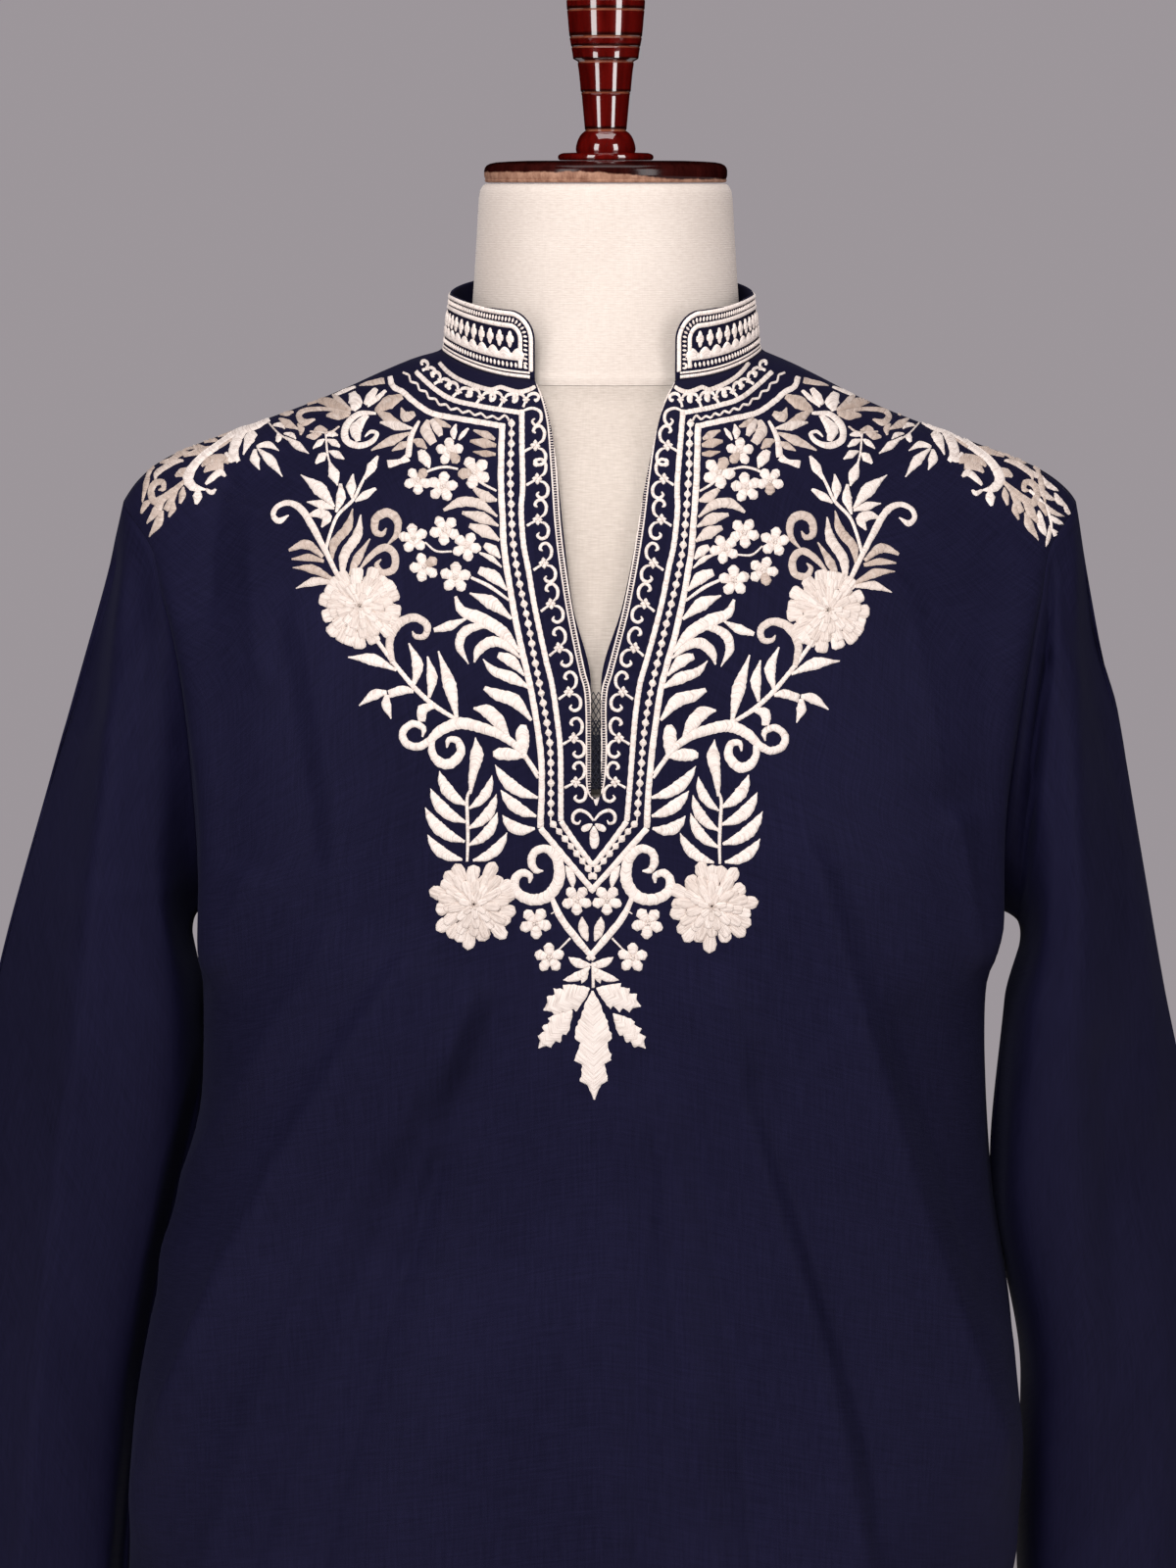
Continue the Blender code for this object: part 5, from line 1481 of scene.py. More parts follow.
# --- upper rosette and its branches --------------------------------------
B = Both(sprays, 280, 440, 4.9)
BF = Both(flowers, 280, 440, 4.9)
BF.rosette((430, 880), 204, False, 0.1)
for pts, ws, tone in (
        ([(326, 742), (252, 592), (182, 462), (130, 386), (68, 358), (12, 378), (-6, 420), (24, 448), (72, 420)],
         [12, 15, 19, 19, 15, 13, 14, 17, 4], 0.15),
        ([(256, 592), (286, 490), (320, 416), (392, 344), (432, 268), (466, 200)], [9, 9, 9, 9, 8, 6], 0.05),
        ([(452, 240), (486, 180), (518, 124)], [5, 26, 6], 0.02),
        ([(300, 378), (226, 290), (132, 218)], [7, 36, 3], 0.02),
        ([(300, 388), (232, 366), (162, 354)], [6, 24, 3], 0.05),
        ([(308, 406), (332, 330), (330, 262)], [6, 26, 8], 0.02),
        ([(388, 336), (384, 280), (394, 214)], [5, 27, 4], 0.02),
        ([(404, 352), (452, 320), (508, 286)], [5, 22, 8], 0.02),
        ([(168, 424), (222, 410), (262, 432), (236, 480)], [6, 24, 30, 5], 0.12),
        ([(288, 642), (300, 560), (366, 480), (392, 388)], [6, 24, 24, 3], 0.80),
        ([(340, 732), (350, 620), (414, 520), (432, 418)], [10, 26, 26, 4], 0.30),
        ([(376, 722), (414, 640), (478, 538)], [8, 24, 4], 0.70),
        ([(418, 702), (484, 622), (552, 580), (602, 618), (596, 690), (540, 706), (512, 668), (534, 640)],
         [5, 16, 20, 20, 20, 18, 14, 4], 0.65),
        ([(562, 572), (612, 512), (612, 440), (562, 408), (508, 436), (504, 500), (540, 514), (560, 484)],
         [4, 16, 22, 24, 22, 18, 14, 4], 0.70),
        ([(244, 628), (160, 566), (72, 596)], [10, 26, 8], 0.75),
        ([(248, 650), (168, 632), (86, 640)], [10, 20, 5], 0.85),
        ([(302, 748), (192, 690), (92, 682)], [9, 24, 3], 0.80),
        ([(296, 756), (200, 752), (108, 786)], [9, 24, 3], 0.35),
        ([(508, 1040), (600, 1162), (700, 1282), (800, 1372), (920, 1448)], [11, 12, 13, 13, 10], 0.03),
        ([(592, 1162), (576, 1050), (622, 962), (702, 932), (762, 970), (752, 1024), (706, 1026), (690, 1000)],
         [14, 21, 24, 21, 19, 17, 13, 4], 0.40),
        ([(610, 1196), (490, 1142), (368, 1130)], [7, 32, 4], 0.03),
        ([(696, 1302), (642, 1294), (572, 1316)], [9, 24, 22], 0.06),
        ([(562, 1306), (500, 1318), (424, 1372)], [12, 28, 4], 0.03),
        ([(562, 1318), (560, 1370), (584, 1438)], [12, 26, 4], 0.08),
        ([(694, 1278), (716, 1170), (672, 1060)], [9, 30, 5], 0.03),
        ([(774, 1332), (788, 1230), (765, 1126)], [9, 29, 5], 0.03),
        ([(914, 1442), (876, 1270), (820, 1100)], [9, 35, 5], 0.03),
        ([(802, 1374), (742, 1392), (738, 1452)], [12, 29, 20], 0.03)):
    B.strip(pts, ws, tone, groove=0.25)
D = Both(sprays)
D.strip([(549, 794), (533, 768), (514, 752), (494, 743.5), (470, 738), (450, 745), (438, 756), (426, 762),
         (414, 758), (411, 747), (421, 738.5), (432, 743), (431, 752)],
        [1.6, 3.0, 4.6, 5.7, 6.3, 5.6, 4.2, 4.2, 4.2, 4.0, 3.8, 3.4, 1.0], 0.06)
D.strip([(441, 755), (441, 768), (449, 778), (460, 779), (470, 768), (467, 756), (458, 755), (456, 763)],
        [3.0, 4.0, 5.2, 5.6, 4.8, 3.9, 3.2, 1.0], 0.02)

# --- shoulder sprays ------------------------------------------------------
S = Both(sprays, 120, 380, 4.9)
SF = Both(flowers, 120, 380, 4.9)
# the darker tones here are partly beige thread, partly painted shade on the shoulder's slope
for pts, ws, tone in (
        # paisley and what is round it
        ([(1292, 204), (1206, 208), (1142, 268), (1142, 336), (1204, 366), (1270, 346), (1298, 308), (1268, 296),
          (1236, 322)], [8, 15, 19, 19, 18, 14, 11, 9, 4], 0.05),
        ([(1204, 344), (1192, 284), (1250, 214)], [14, 34, 10], 0.02),
        ([(1178, 192), (1190, 150), (1170, 100)], [12, 38, 20], 0.02),
        ([(1236, 160), (1262, 126), (1294, 80)], [10, 24, 12], 0.05),
        ([(1250, 172), (1300, 128), (1342, 90)], [6, 14, 8], 0.10),
        ([(1292, 192), (1356, 150), (1424, 120)], [14, 36, 14], 0.85),
        ([(1288, 184), (1350, 226), (1412, 250)], [8, 26, 6], 0.80),
        ([(1190, 72), (1136, 92), (1076, 120)], [5, 10, 6], 0.10),
        ([(1334, 40), (1272, 52), (1208, 66)], [18, 14, 3], 0.75),
        ([(1168, 192), (1102, 136), (1070, 106)], [10, 18, 4], 0.70),
        ([(1164, 196), (1060, 150), (976, 140)], [8, 26, 5], 0.90),
        ([(1160, 212), (1106, 214), (1044, 216)], [8, 26, 8], 0.80),
        ([(1166, 204), (1056, 184), (944, 188), (906, 216), (934, 250), (988, 234)], [8, 10, 12, 16, 20, 5], 0.75),
        ([(996, 148), (940, 150), (884, 160)], [6, 20, 5], 0.85),
        ([(880, 196), (846, 206), (804, 208)], [5, 14, 5], 0.85),
        ([(1486, 204), (1440, 222), (1418, 176)], [14, 30, 4], 0.65),
        ([(1474, 280), (1396, 266), (1312, 250)], [6, 26, 6], 0.30),
        ([(1462, 302), (1372, 340), (1268, 390)], [6, 26, 4], 0.70),
        ([(1508, 242), (1466, 326), (1452, 424)], [8, 15, 18], 0.10),
        ([(1452, 424), (1412, 446), (1350, 458)], [22, 12, 22], 0.08),
        ([(1462, 346), (1420, 366), (1372, 392)], [5, 20, 4], 0.75),
        ([(1476, 340), (1512, 352), (1546, 382)], [6, 26, 5], 0.80),
        ([(1510, 390), (1530, 430), (1548, 470)], [16, 26, 8], 0.08),
        # hanging sprigs
        ([(1040, 306), (1052, 420), (1082, 500)], [5, 6, 6], 0.05),
        ([(1058, 444), (1082, 510), (1100, 566)], [5, 30, 4], 0.02),
        ([(1042, 318), (1074, 308), (1102, 314)], [4, 16, 5], 0.05),
        ([(1044, 336), (1080, 350), (1112, 372)], [4, 20, 6], 0.05),
        ([(1036, 334), (1010, 352), (976, 382)], [4, 17, 3], 0.05),
        ([(1046, 404), (1020, 424), (990, 456)], [4, 24, 6], 0.05),
        ([(1056, 394), (1096, 410), (1134, 434)], [4, 22, 4], 0.05),
        ([(1110, 270), (1060, 300), (960, 296)], [4, 5, 4], 0.60),
        ([(1050, 290), (1012, 280), (982, 290)], [5, 18, 4], 0.75),
        ([(1020, 306), (980, 318), (944, 322)], [5, 20, 6], 0.75),
        ([(742, 236), (800, 300), (850, 336)], [5, 5, 5], 0.25),
        ([(838, 322), (900, 366), (956, 406)], [4, 22, 3], 0.10),
        ([(830, 306), (870, 312), (892, 334)], [4, 14, 4], 0.10),
        ([(800, 300), (806, 326), (796, 348)], [4, 18, 8], 0.05),
        ([(776, 266), (812, 262), (838, 282)], [4, 14, 4], 0.20),
        ([(806, 230), (850, 256), (904, 284)], [5, 22, 5], 0.75),
        ([(900, 256), (918, 284), (914, 314)], [6, 18, 5], 0.75),
        # three-leaf group
        ([(688, 384), (686, 434), (710, 488)], [8, 26, 3], 0.02),
        ([(694, 372), (752, 360), (808, 392)], [7, 19, 3], 0.05),
        ([(700, 380), (764, 440), (824, 522)], [6, 27, 3], 0.02),
        # the big light scroll and its petals
        ([(760, 234), (690, 270), (600, 300), (500, 366), (404, 440), (352, 520), (376, 570), (440, 586)],
         [10, 16, 20, 18, 20, 28, 24, 5], 0.05),
        ([(640, 290), (600, 330), (580, 400), (606, 446)], [12, 26, 26, 12], 0.05),
        ([(690, 300), (660, 330), (628, 412)], [16, 28, 4], 0.03),
        ([(540, 400), (560, 436), (600, 432)], [10, 16, 8], 0.10),
        ([(420, 470), (460, 440), (520, 430), (560, 446)], [6, 22, 26, 14], 0.80),
        ([(432, 500), (470, 470), (530, 466)], [6, 24, 20], 0.75),
        ([(440, 560), (470, 530), (512, 500), (540, 520)], [8, 16, 20, 8], 0.10),
        ([(402, 580), (400, 620), (392, 660)], [8, 26, 8], 0.03),
        ([(440, 584), (470, 600), (492, 584)], [8, 14, 6], 0.10),
        # end of the spray, down to the armhole
        ([(590, 320), (500, 372), (420, 390), (330, 420)], [6, 14, 20, 6], 0.80),
        ([(500, 340), (440, 336), (390, 356)], [8, 20, 5], 0.80),
        ([(440, 376), (370, 368), (318, 392)], [6, 20, 5], 0.85),
        ([(380, 404), (310, 406), (270, 440), (210, 452)], [6, 16, 18, 5], 0.75),
        ([(330, 440), (280, 450), (200, 500), (186, 540)], [6, 14, 16, 4], 0.55),
        ([(354, 480), (322, 500), (288, 520)], [6, 24, 6], 0.75),
        ([(340, 540), (270, 600), (190, 646), (166, 600), (186, 556), (224, 548), (230, 582), (204, 588)],
         [8, 18, 22, 18, 17, 16, 13, 4], 0.75),
        ([(270, 604), (220, 640), (196, 690), (146, 756)], [6, 20, 24, 4], 0.70),
        ([(300, 590), (268, 640), (240, 690)], [5, 18, 16], 0.75),
        ([(330, 572), (324, 610), (312, 656)], [5, 20, 8], 0.75),
        ([(280, 640), (276, 680), (256, 724)], [5, 18, 6], 0.75),
        ([(226, 690), (204, 750), (158, 822)], [6, 24, 3], 0.70),
        ([(210, 440), (170, 470), (150, 530)], [6, 18, 5], 0.80),
        ([(160, 490), (144, 550), (124, 650)], [6, 16, 4], 0.80),
        ([(170, 640), (140, 660), (118, 706)], [6, 18, 6], 0.80),
        ([(620, 262), (560, 300), (500, 322)], [4, 12, 4], 0.80),
        ([(700, 222), (650, 250), (606, 274)], [4, 12, 4], 0.75),
        ([(830, 182), (770, 204), (712, 222)], [4, 12, 4], 0.80)):
    S.strip(pts, ws, tone, groove=0.22)

# the right shoulder's spray runs on to the armhole
sprays.strip([(1050, 500), (1060, 509), (1068, 520), (1072, 531), (1073, 544)], [1.6, 1.7, 1.6, 1.4, 0.8], 0.1)
for a, b, w, bend, tone in (((1060, 521), (1067, 547), 4.6, 0.05, 0.05), ((1071, 536), (1067, 558), 2.6, -0.05, 0.30),
                            ((1071, 526), (1085, 535), 3.0, 0.05, 0.0), ((1055, 492), (1077, 511), 3.8, 0.08, 0.50),
                            ((1061, 486), (1080, 501), 3.2, 0.06, 0.25), ((1076, 503), (1088, 517), 3.6, 0.08, 0.30),
                            ((1064, 512), (1086, 527), 2.8, 0.10, 0.55), ((1048, 478), (1066, 488), 3.0, 0.08, 0.45),
                            ((1086, 514), (1092, 526), 2.6, 0.05, 0.40), ((1074, 540), (1086, 554), 4.2, 0.04, 0.0)):
    sprays.leaf(a, b, w, bend, tone)

BANDS = bands.build([THREAD])
SPRAYS = sprays.build([THREAD])
FLOWERS = flowers.build([THREAD])

# --- collar ---------------------------------------------------------------
neckband = Stitches("embroidery_collar", on_collar, 1.0)
MM = 0.001
TOTAL = float(NECK_RUN[-1])


def rounded(inset):
    """A line along the front edge, round the corner and along the top, on one end."""
    r = COLLAR_CORNER - inset
    pts = [(inset, 0.0035 + inset * 0.2)]
    pts += [(inset, h) for h in np.linspace(0.008, COLLAR_H - COLLAR_CORNER, 4)]
    for a in np.linspace(0.2, math.pi / 2, 6):
        pts.append((COLLAR_CORNER - r * math.cos(a), COLLAR_H - COLLAR_CORNER + r * math.sin(a)))
    return pts


def full_line(inset, wave=0.0):
    left = rounded(inset)
    top = COLLAR_H - inset
    middle = [(s, top + wave * math.sin(s * 260)) for s in np.arange(0.022, TOTAL - 0.021, 0.008)]
    right = [(TOTAL - s, h) for s, h in reversed(left)]
    return left + middle + right


def stitch_line(pts, half, tone=0.0, **more):
    for k in range(0, len(pts) - 1, 12):
        piece = pts[k:k + 13]
        if len(piece) > 1:
            neckband.strip(piece, [half] * len(piece), tone, **more)


stitch_line(full_line(0.0017), 0.00115, height=0.0008)
stitch_line(full_line(0.0074), 0.00120, height=0.0007)
for p, a in along_path([(s * 1000, h * 1000) for s, h in full_line(0.0045)], 2.1, 1.0):
    neckband.dot((p[0] * MM, p[1] * MM), 0.00066, 0.05, long=1.9, angle=a + 1.75)
stitch_line([(s, 0.0013) for s in np.arange(0.0022, TOTAL - 0.0021, 0.006)] + [(TOTAL - 0.0022, 0.0013)], 0.00085,
            height=0.0006)
stitch_line([(s, 0.0032) for s in np.arange(0.0022, TOTAL - 0.0021, 0.006)] + [(TOTAL - 0.0022, 0.0032)], 0.00055,
            height=0.0005)
for s in np.arange(0.0048, TOTAL - 0.0040, 0.0025):
    neckband.dot((s, 0.0062), 0.00082, 0.05, long=1.6, angle=1.45)
# a scalloped border with a row of small crosses above it
stitch_line([(s, 0.0101) for s in np.arange(0.0058, TOTAL - 0.0057, 0.004)] + [(TOTAL - 0.0058, 0.0101)], 0.0018,
            height=0.0007)
HUMPS = int(round((TOTAL - 0.0172) / 0.0075))
for n in range(HUMPS + 1):
    s = mix(0.0086, TOTAL - 0.0086, n / HUMPS)
    neckband.strip([(s, 0.0100), (s, 0.0117), (s, 0.0129), (s, 0.0138), (s, 0.0143)],
                   [0.0037, 0.0035, 0.0026, 0.0015, 0.0003], 0.03, height=0.0008)
PIPS = int(round((TOTAL - 0.0264) / 0.0063))
for n in range(PIPS + 1):
    s = mix(0.0132, TOTAL - 0.0132, n / PIPS)
    neckband.strip([(s, 0.0183 + dy) for dy in (-0.0040, -0.0026, -0.0017, -0.0013, 0.0, 0.0013, 0.0017, 0.0026, 0.0038)],
                   [0.0005, 0.0011, 0.0012, 0.0021, 0.0024, 0.0021, 0.0012, 0.0011, 0.0005], 0.04, height=0.0009,
                   groove=0.25)
NECKBAND = neckband.build([COLLAR_THREAD_LIT])


# ------------------------------------------------------------ the dress form
def lathe_object(name, profile, centre, sides, mat, smooth_angle=35.0, subdivide=3):
    """A turned solid: the profile is refined, and closed at both ends."""
    pts = []
    for (r0, z0), (r1, z1) in zip(profile, profile[1:]):
        for k in range(subdivide):
            pts.append((mix(r0, r1, k / subdivide), mix(z0, z1, k / subdivide)))
    pts.append(profile[-1])
    verts, faces = [], []
    run = [0.0]
    for a, b in zip(pts, pts[1:]):
        run.append(run[-1] + math.hypot(b[0] - a[0], b[1] - a[1]))
    uv = []
    for (r, z), w in zip(pts, run):
        for k in range(sides):
            t = 2 * math.pi * (k + 0.5) / sides
            verts.append((centre[0] + r * math.cos(t), centre[1] + r * math.sin(t), z))
            uv.append((k / sides * 2 * math.pi * 0.06, z))
    for j in range(len(pts) - 1):
        for k in range(sides):
            a, b = j * sides + k, j * sides + (k + 1) % sides
            faces.append((a, b, b + sides, a + sides))
    faces.append(tuple(reversed(range(sides))))
    last = (len(pts) - 1) * sides
    faces.append(tuple(range(last, last + sides)))
    ob = new_object(name, verts, faces, [mat], np.array(uv))
    ob.data.set_sharp_from_angle(angle=math.radians(smooth_angle))
    return ob


def linen_material(name, low, high):
    """Unbleached linen cover: fine slubbed cross threads, matt."""
    m = Nodes(name)
    pos = m.add("ShaderNodeTexCoord").outputs["Object"]
    angle = m.add("ShaderNodeSeparateXYZ")
    m.put(angle.inputs[0], pos)
    x, y, z = angle.outputs
    turn = m.math("ARCTAN2", x, m.math("MULTIPLY", y, -1.0))
    flat = m.add("ShaderNodeCombineXYZ")
    m.put(flat.inputs[0], m.math("MULTIPLY", turn, 0.08))
    m.put(flat.inputs[1], z)
    vec = flat.outputs[0]
    slub = m.noise(m.scaled(vec, 210.0, 1500.0, 1.0), 1.0, 3.0, 0.6)
    slub_up = m.noise(m.scaled(vec, 1300.0, 110.0, 1.0), 1.0, 2.0, 0.5)
    thread = m.add("ShaderNodeTexWave", wave_type="BANDS", bands_direction="Y", Scale=1.0, Distortion=1.2)
    m.put(thread.inputs["Vector"], m.scaled(vec, 60.0, 300.0, 1.0))
    cloud = m.noise(vec, 14.0, 2.0)
    tone = m.math("ADD", m.math("MULTIPLY", slub, 0.55), m.math("MULTIPLY", slub_up, 0.15))
    tone = m.math("ADD", tone, m.math("MULTIPLY", cloud, 0.30))
    tone = m.remap(tone, 0.38, 0.62, 0.0, 1.0)
    m.put(m.shader.inputs["Base Color"],
          m.blend(tone, low, high))
    m.shader.inputs["Roughness"].default_value = 0.82
    m.shader.inputs["Specular IOR Level"].default_value = 0.25
    m.shader.inputs["Sheen Weight"].default_value = 0.15
    h = m.math("ADD", m.math("MULTIPLY", slub, 1.0), m.math("MULTIPLY", thread.outputs["Fac"], 0.35))
    m.put(m.shader.inputs["Normal"], m.bump(h, 0.35, 0.00035))
    return m.mat


def wood_material(name, dark, light, grooves=(), rough=0.16, bare=None):
    """Dark lacquered wood, its grain running up, with paler turned lines and a band of painted shade beside each."""
    m = Nodes(name)
    pos = m.add("ShaderNodeTexCoord").outputs["Object"]
    grain = m.noise(m.scaled(pos, 160.0, 160.0, 9.0), 1.0, 4.0, 0.6)
    streak = m.noise(m.scaled(pos, 520.0, 520.0, 22.0), 1.0, 2.0, 0.5)
    tone = m.remap(m.math("ADD", m.math("MULTIPLY", grain, 0.7), m.math("MULTIPLY", streak, 0.3)),
                   0.36, 0.66, 0.0, 1.0)
    colour = m.blend(tone, dark, light)
    sep = m.add("ShaderNodeSeparateXYZ")
    m.put(sep.inputs[0], pos)
    z = sep.outputs[2]
    line = None
    for height, half in grooves:
        d = m.math("ABSOLUTE", m.math("SUBTRACT", z, height))
        one = m.remap(d, half * 0.4, half, 1.0, 0.0)
        line = one if line is None else m.math("MAXIMUM", line, one)
    if line is not None:
        broken = m.math("MULTIPLY", line, m.remap(m.noise(pos, 120.0, 2.0), 0.35, 0.6, 0.45, 1.0))
        # a dark band just above each groove: painted shade
        shade = None
        for height, half in grooves:
            d = m.math("ABSOLUTE", m.math("SUBTRACT", z, height + half * 1.5))
            one = m.remap(d, half * 0.7, half * 1.7, 0.85, 0.0)
            shade = one if shade is None else m.math("MAXIMUM", shade, one)
        colour = m.blend(shade, colour, (0.006, 0.0012, 0.0010, 1))
        colour = m.blend(broken, colour, (0.26, 0.080, 0.042, 1))
    if bare:
        lean = m.remap(sep.outputs[0], -0.002, 0.034, -0.0020, 0.0012)
        edge = m.math("ADD", m.math("ADD", z, lean),
                      m.math("MULTIPLY", m.noise(m.scaled(pos, 90, 90, 30), 1.0, 4.0, 0.7), 0.0030))
        low = m.remap(edge, bare[0], bare[1], 1.0, 0.0)
        chip = m.noise(m.scaled(pos, 260, 260, 120), 1.0, 4.0, 0.7)
        wood = m.blend(m.remap(chip, 0.36, 0.60, 0.0, 1.0), (0.200, 0.085, 0.050, 1), (0.400, 0.215, 0.140, 1))
        colour = m.blend(low, colour, wood)
        m.put(m.shader.inputs["Roughness"], m.remap(low, 0.0, 1.0, rough, 0.6))
    else:
        m.put(m.shader.inputs["Roughness"], m.remap(grain, 0.3, 0.7, rough, rough + 0.07))
    m.put(m.shader.inputs["Base Color"], colour)
    m.shader.inputs["Specular IOR Level"].default_value = 0.45 if bare else 0.25
    m.shader.inputs["Coat Weight"].default_value = 0.0 if bare else 0.9
    m.shader.inputs["Coat Roughness"].default_value = 0.05
    m.shader.inputs["Coat IOR"].default_value = 2.6
    m.put(m.shader.inputs["Normal"], m.bump(grain, 0.12, 0.0002))
    return m.mat


def form_depth(side, x, z):
    name = "front" if side == FRONT else "back"
    w = FORM.at(z, "w")
    across = np.maximum(0.0, 1 - np.minimum(1.0, np.abs(x) / w) ** 2.6) ** (1 / 2.6)
    t = np.clip((ridge(side, x) - 0.0045 - z) / ARCH, 0, 1)
    return FORM.at(z, name) * across * (1 - (1 - t) ** ARCH_CURVE) ** POWER[side]


def torso_object(mat, sides=112):
    heights = np.concatenate([[0.770, 0.7712, 0.7745], np.linspace(0.780, 0.840, 9), np.linspace(0.850, 1.30, 40),
                              np.linspace(1.31, 1.42, 16), np.linspace(1.425, 1.4862, 18)])
    verts, uv = [], []
    for z in heights:
        a = 2 * math.pi * np.arange(sides) / sides
        cx, sy = np.cos(a), np.sin(a)
        lo, hi = np.zeros(sides), np.full(sides, 0.30)
        for _ in range(44):
            r = (lo + hi) / 2
            limit = np.where(sy < 0, form_depth(FRONT, r * cx, z), form_depth(BACK, r * cx, z))
            fits = (np.abs(r * sy) + 1e-6 < limit) & (np.abs(r * cx) < FORM.at(z, "w"))
            lo, hi = np.where(fits, r, lo), np.where(fits, hi, r)
        for k in range(sides):
            verts.append((lo[k] * cx[k], lo[k] * sy[k], z))
            uv.append((a[k] * 0.15, z))
    # ease each ring so that the corners of the section are soft
    P = np.array(verts).reshape(len(heights), sides, 3)
    for _ in range(2):
        P[:, :, :2] = 0.5 * P[:, :, :2] + 0.25 * (np.roll(P, 1, 1) + np.roll(P, -1, 1))[:, :, :2]
    # the top swells out to meet the neck block
    away = np.hypot(P[:, :, 0] - FORM_X, P[:, :, 1])
    least = 0.0664 + 0.0006 * smooth((1.4862 - P[:, :, 2]) / 0.010)
    scale = np.where((P[:, :, 2] > 1.462) & (away < least), least / away, 1.0)
    P[:, :, 0] = FORM_X + (P[:, :, 0] - FORM_X) * scale
    P[:, :, 1] *= scale
    # the centre seam of the cover
    for seam in (0.0, ):
        x = P[:, :, 0]
        pinch = 0.0005 * np.exp(-((x - seam) / 0.0009) ** 2) * (P[:, :, 1] > 0)
        P[:, :, 1] -= pinch
    f = quads_of(len(heights), sides, wrap=True)
    faces = [list(q) for q in f.tolist()]
    faces.append(list(range(sides - 1, -1, -1)))
    last = (len(heights) - 1) * sides
    faces.append(list(range(last, last + sides)))
    ob = new_object("form_torso_cover", P.reshape(-1, 3), faces, [mat], np.array(uv))
    ob.data.set_sharp_from_angle(angle=math.radians(50))
    return ob


# the torso's copy of the linen is darker than the neck's: painted shade on the form inside the kurta
LINEN = linen_material("cream_linen", (0.480, 0.410, 0.353, 1), (0.600, 0.522, 0.458, 1))
NECK_LINEN = linen_material("cream_linen_neck", (0.585, 0.500, 0.437, 1), (0.695, 0.610, 0.542, 1))
TOP = (FORM_X, 0.0)
GROOVES = [(1.60480, 0.0007), (1.62240, 0.0006), (1.63700, 0.0008), (1.64380, 0.0006),
           (1.64850, 0.0008), (1.66120, 0.0007), (1.66600, 0.0006)]
WOOD = wood_material("mahogany_lacquer", (0.050, 0.0012, 0.0008, 1), (0.130, 0.0030, 0.0018, 1), GROOVES)
CAP_WOOD = wood_material("cap_lacquer", (0.012, 0.0014, 0.0012, 1), (0.032, 0.0040, 0.0032, 1), bare=(1.5842, 1.5849))
STAND_WOOD = wood_material("stand_lacquer", (0.050, 0.0012, 0.0008, 1), (0.130, 0.0030, 0.0018, 1))

torso = torso_object(LINEN)
NECK_PROFILE = [(0.0665, 1.4864), (0.0666, 1.4880), (0.0666, 1.4896), (0.0664, 1.4905), (0.0662, 1.4913),
                (0.0659, 1.4922), (0.0655, 1.4960), (0.0645, 1.5080), (0.0636, 1.5200), (0.0628, 1.5310),
                (0.0620, 1.5430), (0.0612, 1.5560), (0.0606, 1.5670), (0.0602, 1.5730), (0.0596, 1.5765),
                (0.0584, 1.5786), (0.0570, 1.5796)]
neck = lathe_object("form_neck_cover", NECK_PROFILE, TOP, 128, NECK_LINEN, 60.0)
CAP_PROFILE = [(0.0556, 1.5801), (0.0570, 1.5804), (0.0575, 1.5812), (0.0571, 1.5818), (0.0574, 1.5824),
               (0.0577, 1.5835), (0.0577, 1.5858), (0.0573, 1.5872), (0.0564, 1.5883), (0.0548, 1.5891),
               (0.0520, 1.5897), (0.0460, 1.5901), (0.0380, 1.5904)]
cap = lathe_object("cap_disc", CAP_PROFILE, TOP, 128, CAP_WOOD, 40.0, 2)
FINIAL_PROFILE = [(0.0218, 1.5907), (0.0225, 1.5912), (0.0227, 1.5921), (0.0225, 1.5930), (0.0215, 1.5937),
                  (0.0200, 1.5941), (0.0138, 1.5943), (0.0141, 1.5950), (0.0142, 1.5962), (0.0140, 1.5976),
                  (0.0136, 1.5991), (0.0130, 1.6007), (0.0122, 1.6022), (0.0112, 1.6034), (0.0102, 1.6042),
                  (0.0095, 1.6047), (0.0099, 1.6053), (0.0101, 1.6075), (0.0106, 1.6130), (0.0111, 1.6184),
                  (0.0113, 1.6210), (0.0116, 1.6222), (0.0112, 1.6226), (0.0119, 1.6231), (0.0121, 1.6260),
                  (0.0127, 1.6320), (0.0133, 1.6362), (0.0130, 1.6368), (0.0136, 1.6374), (0.0150, 1.6381),
                  (0.0155, 1.6386), (0.0158, 1.6410), (0.0162, 1.6434), (0.0159, 1.6439), (0.0164, 1.6444),
                  (0.0168, 1.6466), (0.0171, 1.6480), (0.0167, 1.6485), (0.0172, 1.6491), (0.0176, 1.6530),
                  (0.0180, 1.6580), (0.0183, 1.6608), (0.0179, 1.6612), (0.0184, 1.6617), (0.0186, 1.6655),
                  (0.0183, 1.6660), (0.0188, 1.6666), (0.0191, 1.6720), (0.0192, 1.6760), (0.0190, 1.6810),
                  (0.0185, 1.6852), (0.0177, 1.6900), (0.0165, 1.6943), (0.0149, 1.6984), (0.0129, 1.7017),
                  (0.0106, 1.7043), (0.0080, 1.7063), (0.0055, 1.7075), (0.0030, 1.7080)]
finial = lathe_object("finial_turned", FINIAL_PROFILE, TOP, 96, WOOD, 30.0, 2)
plate = lathe_object("plate_turned", [(0.0518, 0.7562), (0.0530, 0.7568), (0.0545, 0.7585), (0.0549, 0.7600),
                                      (0.0549, 0.7690), (0.0540, 0.7696)], (0, 0), 96, STAND_WOOD, 40.0, 2)
pole = lathe_object("pole_turned", [(0.0149, 0.0604), (0.0149, 0.7556)], (0, 0), 64, STAND_WOOD, 40.0, 30)
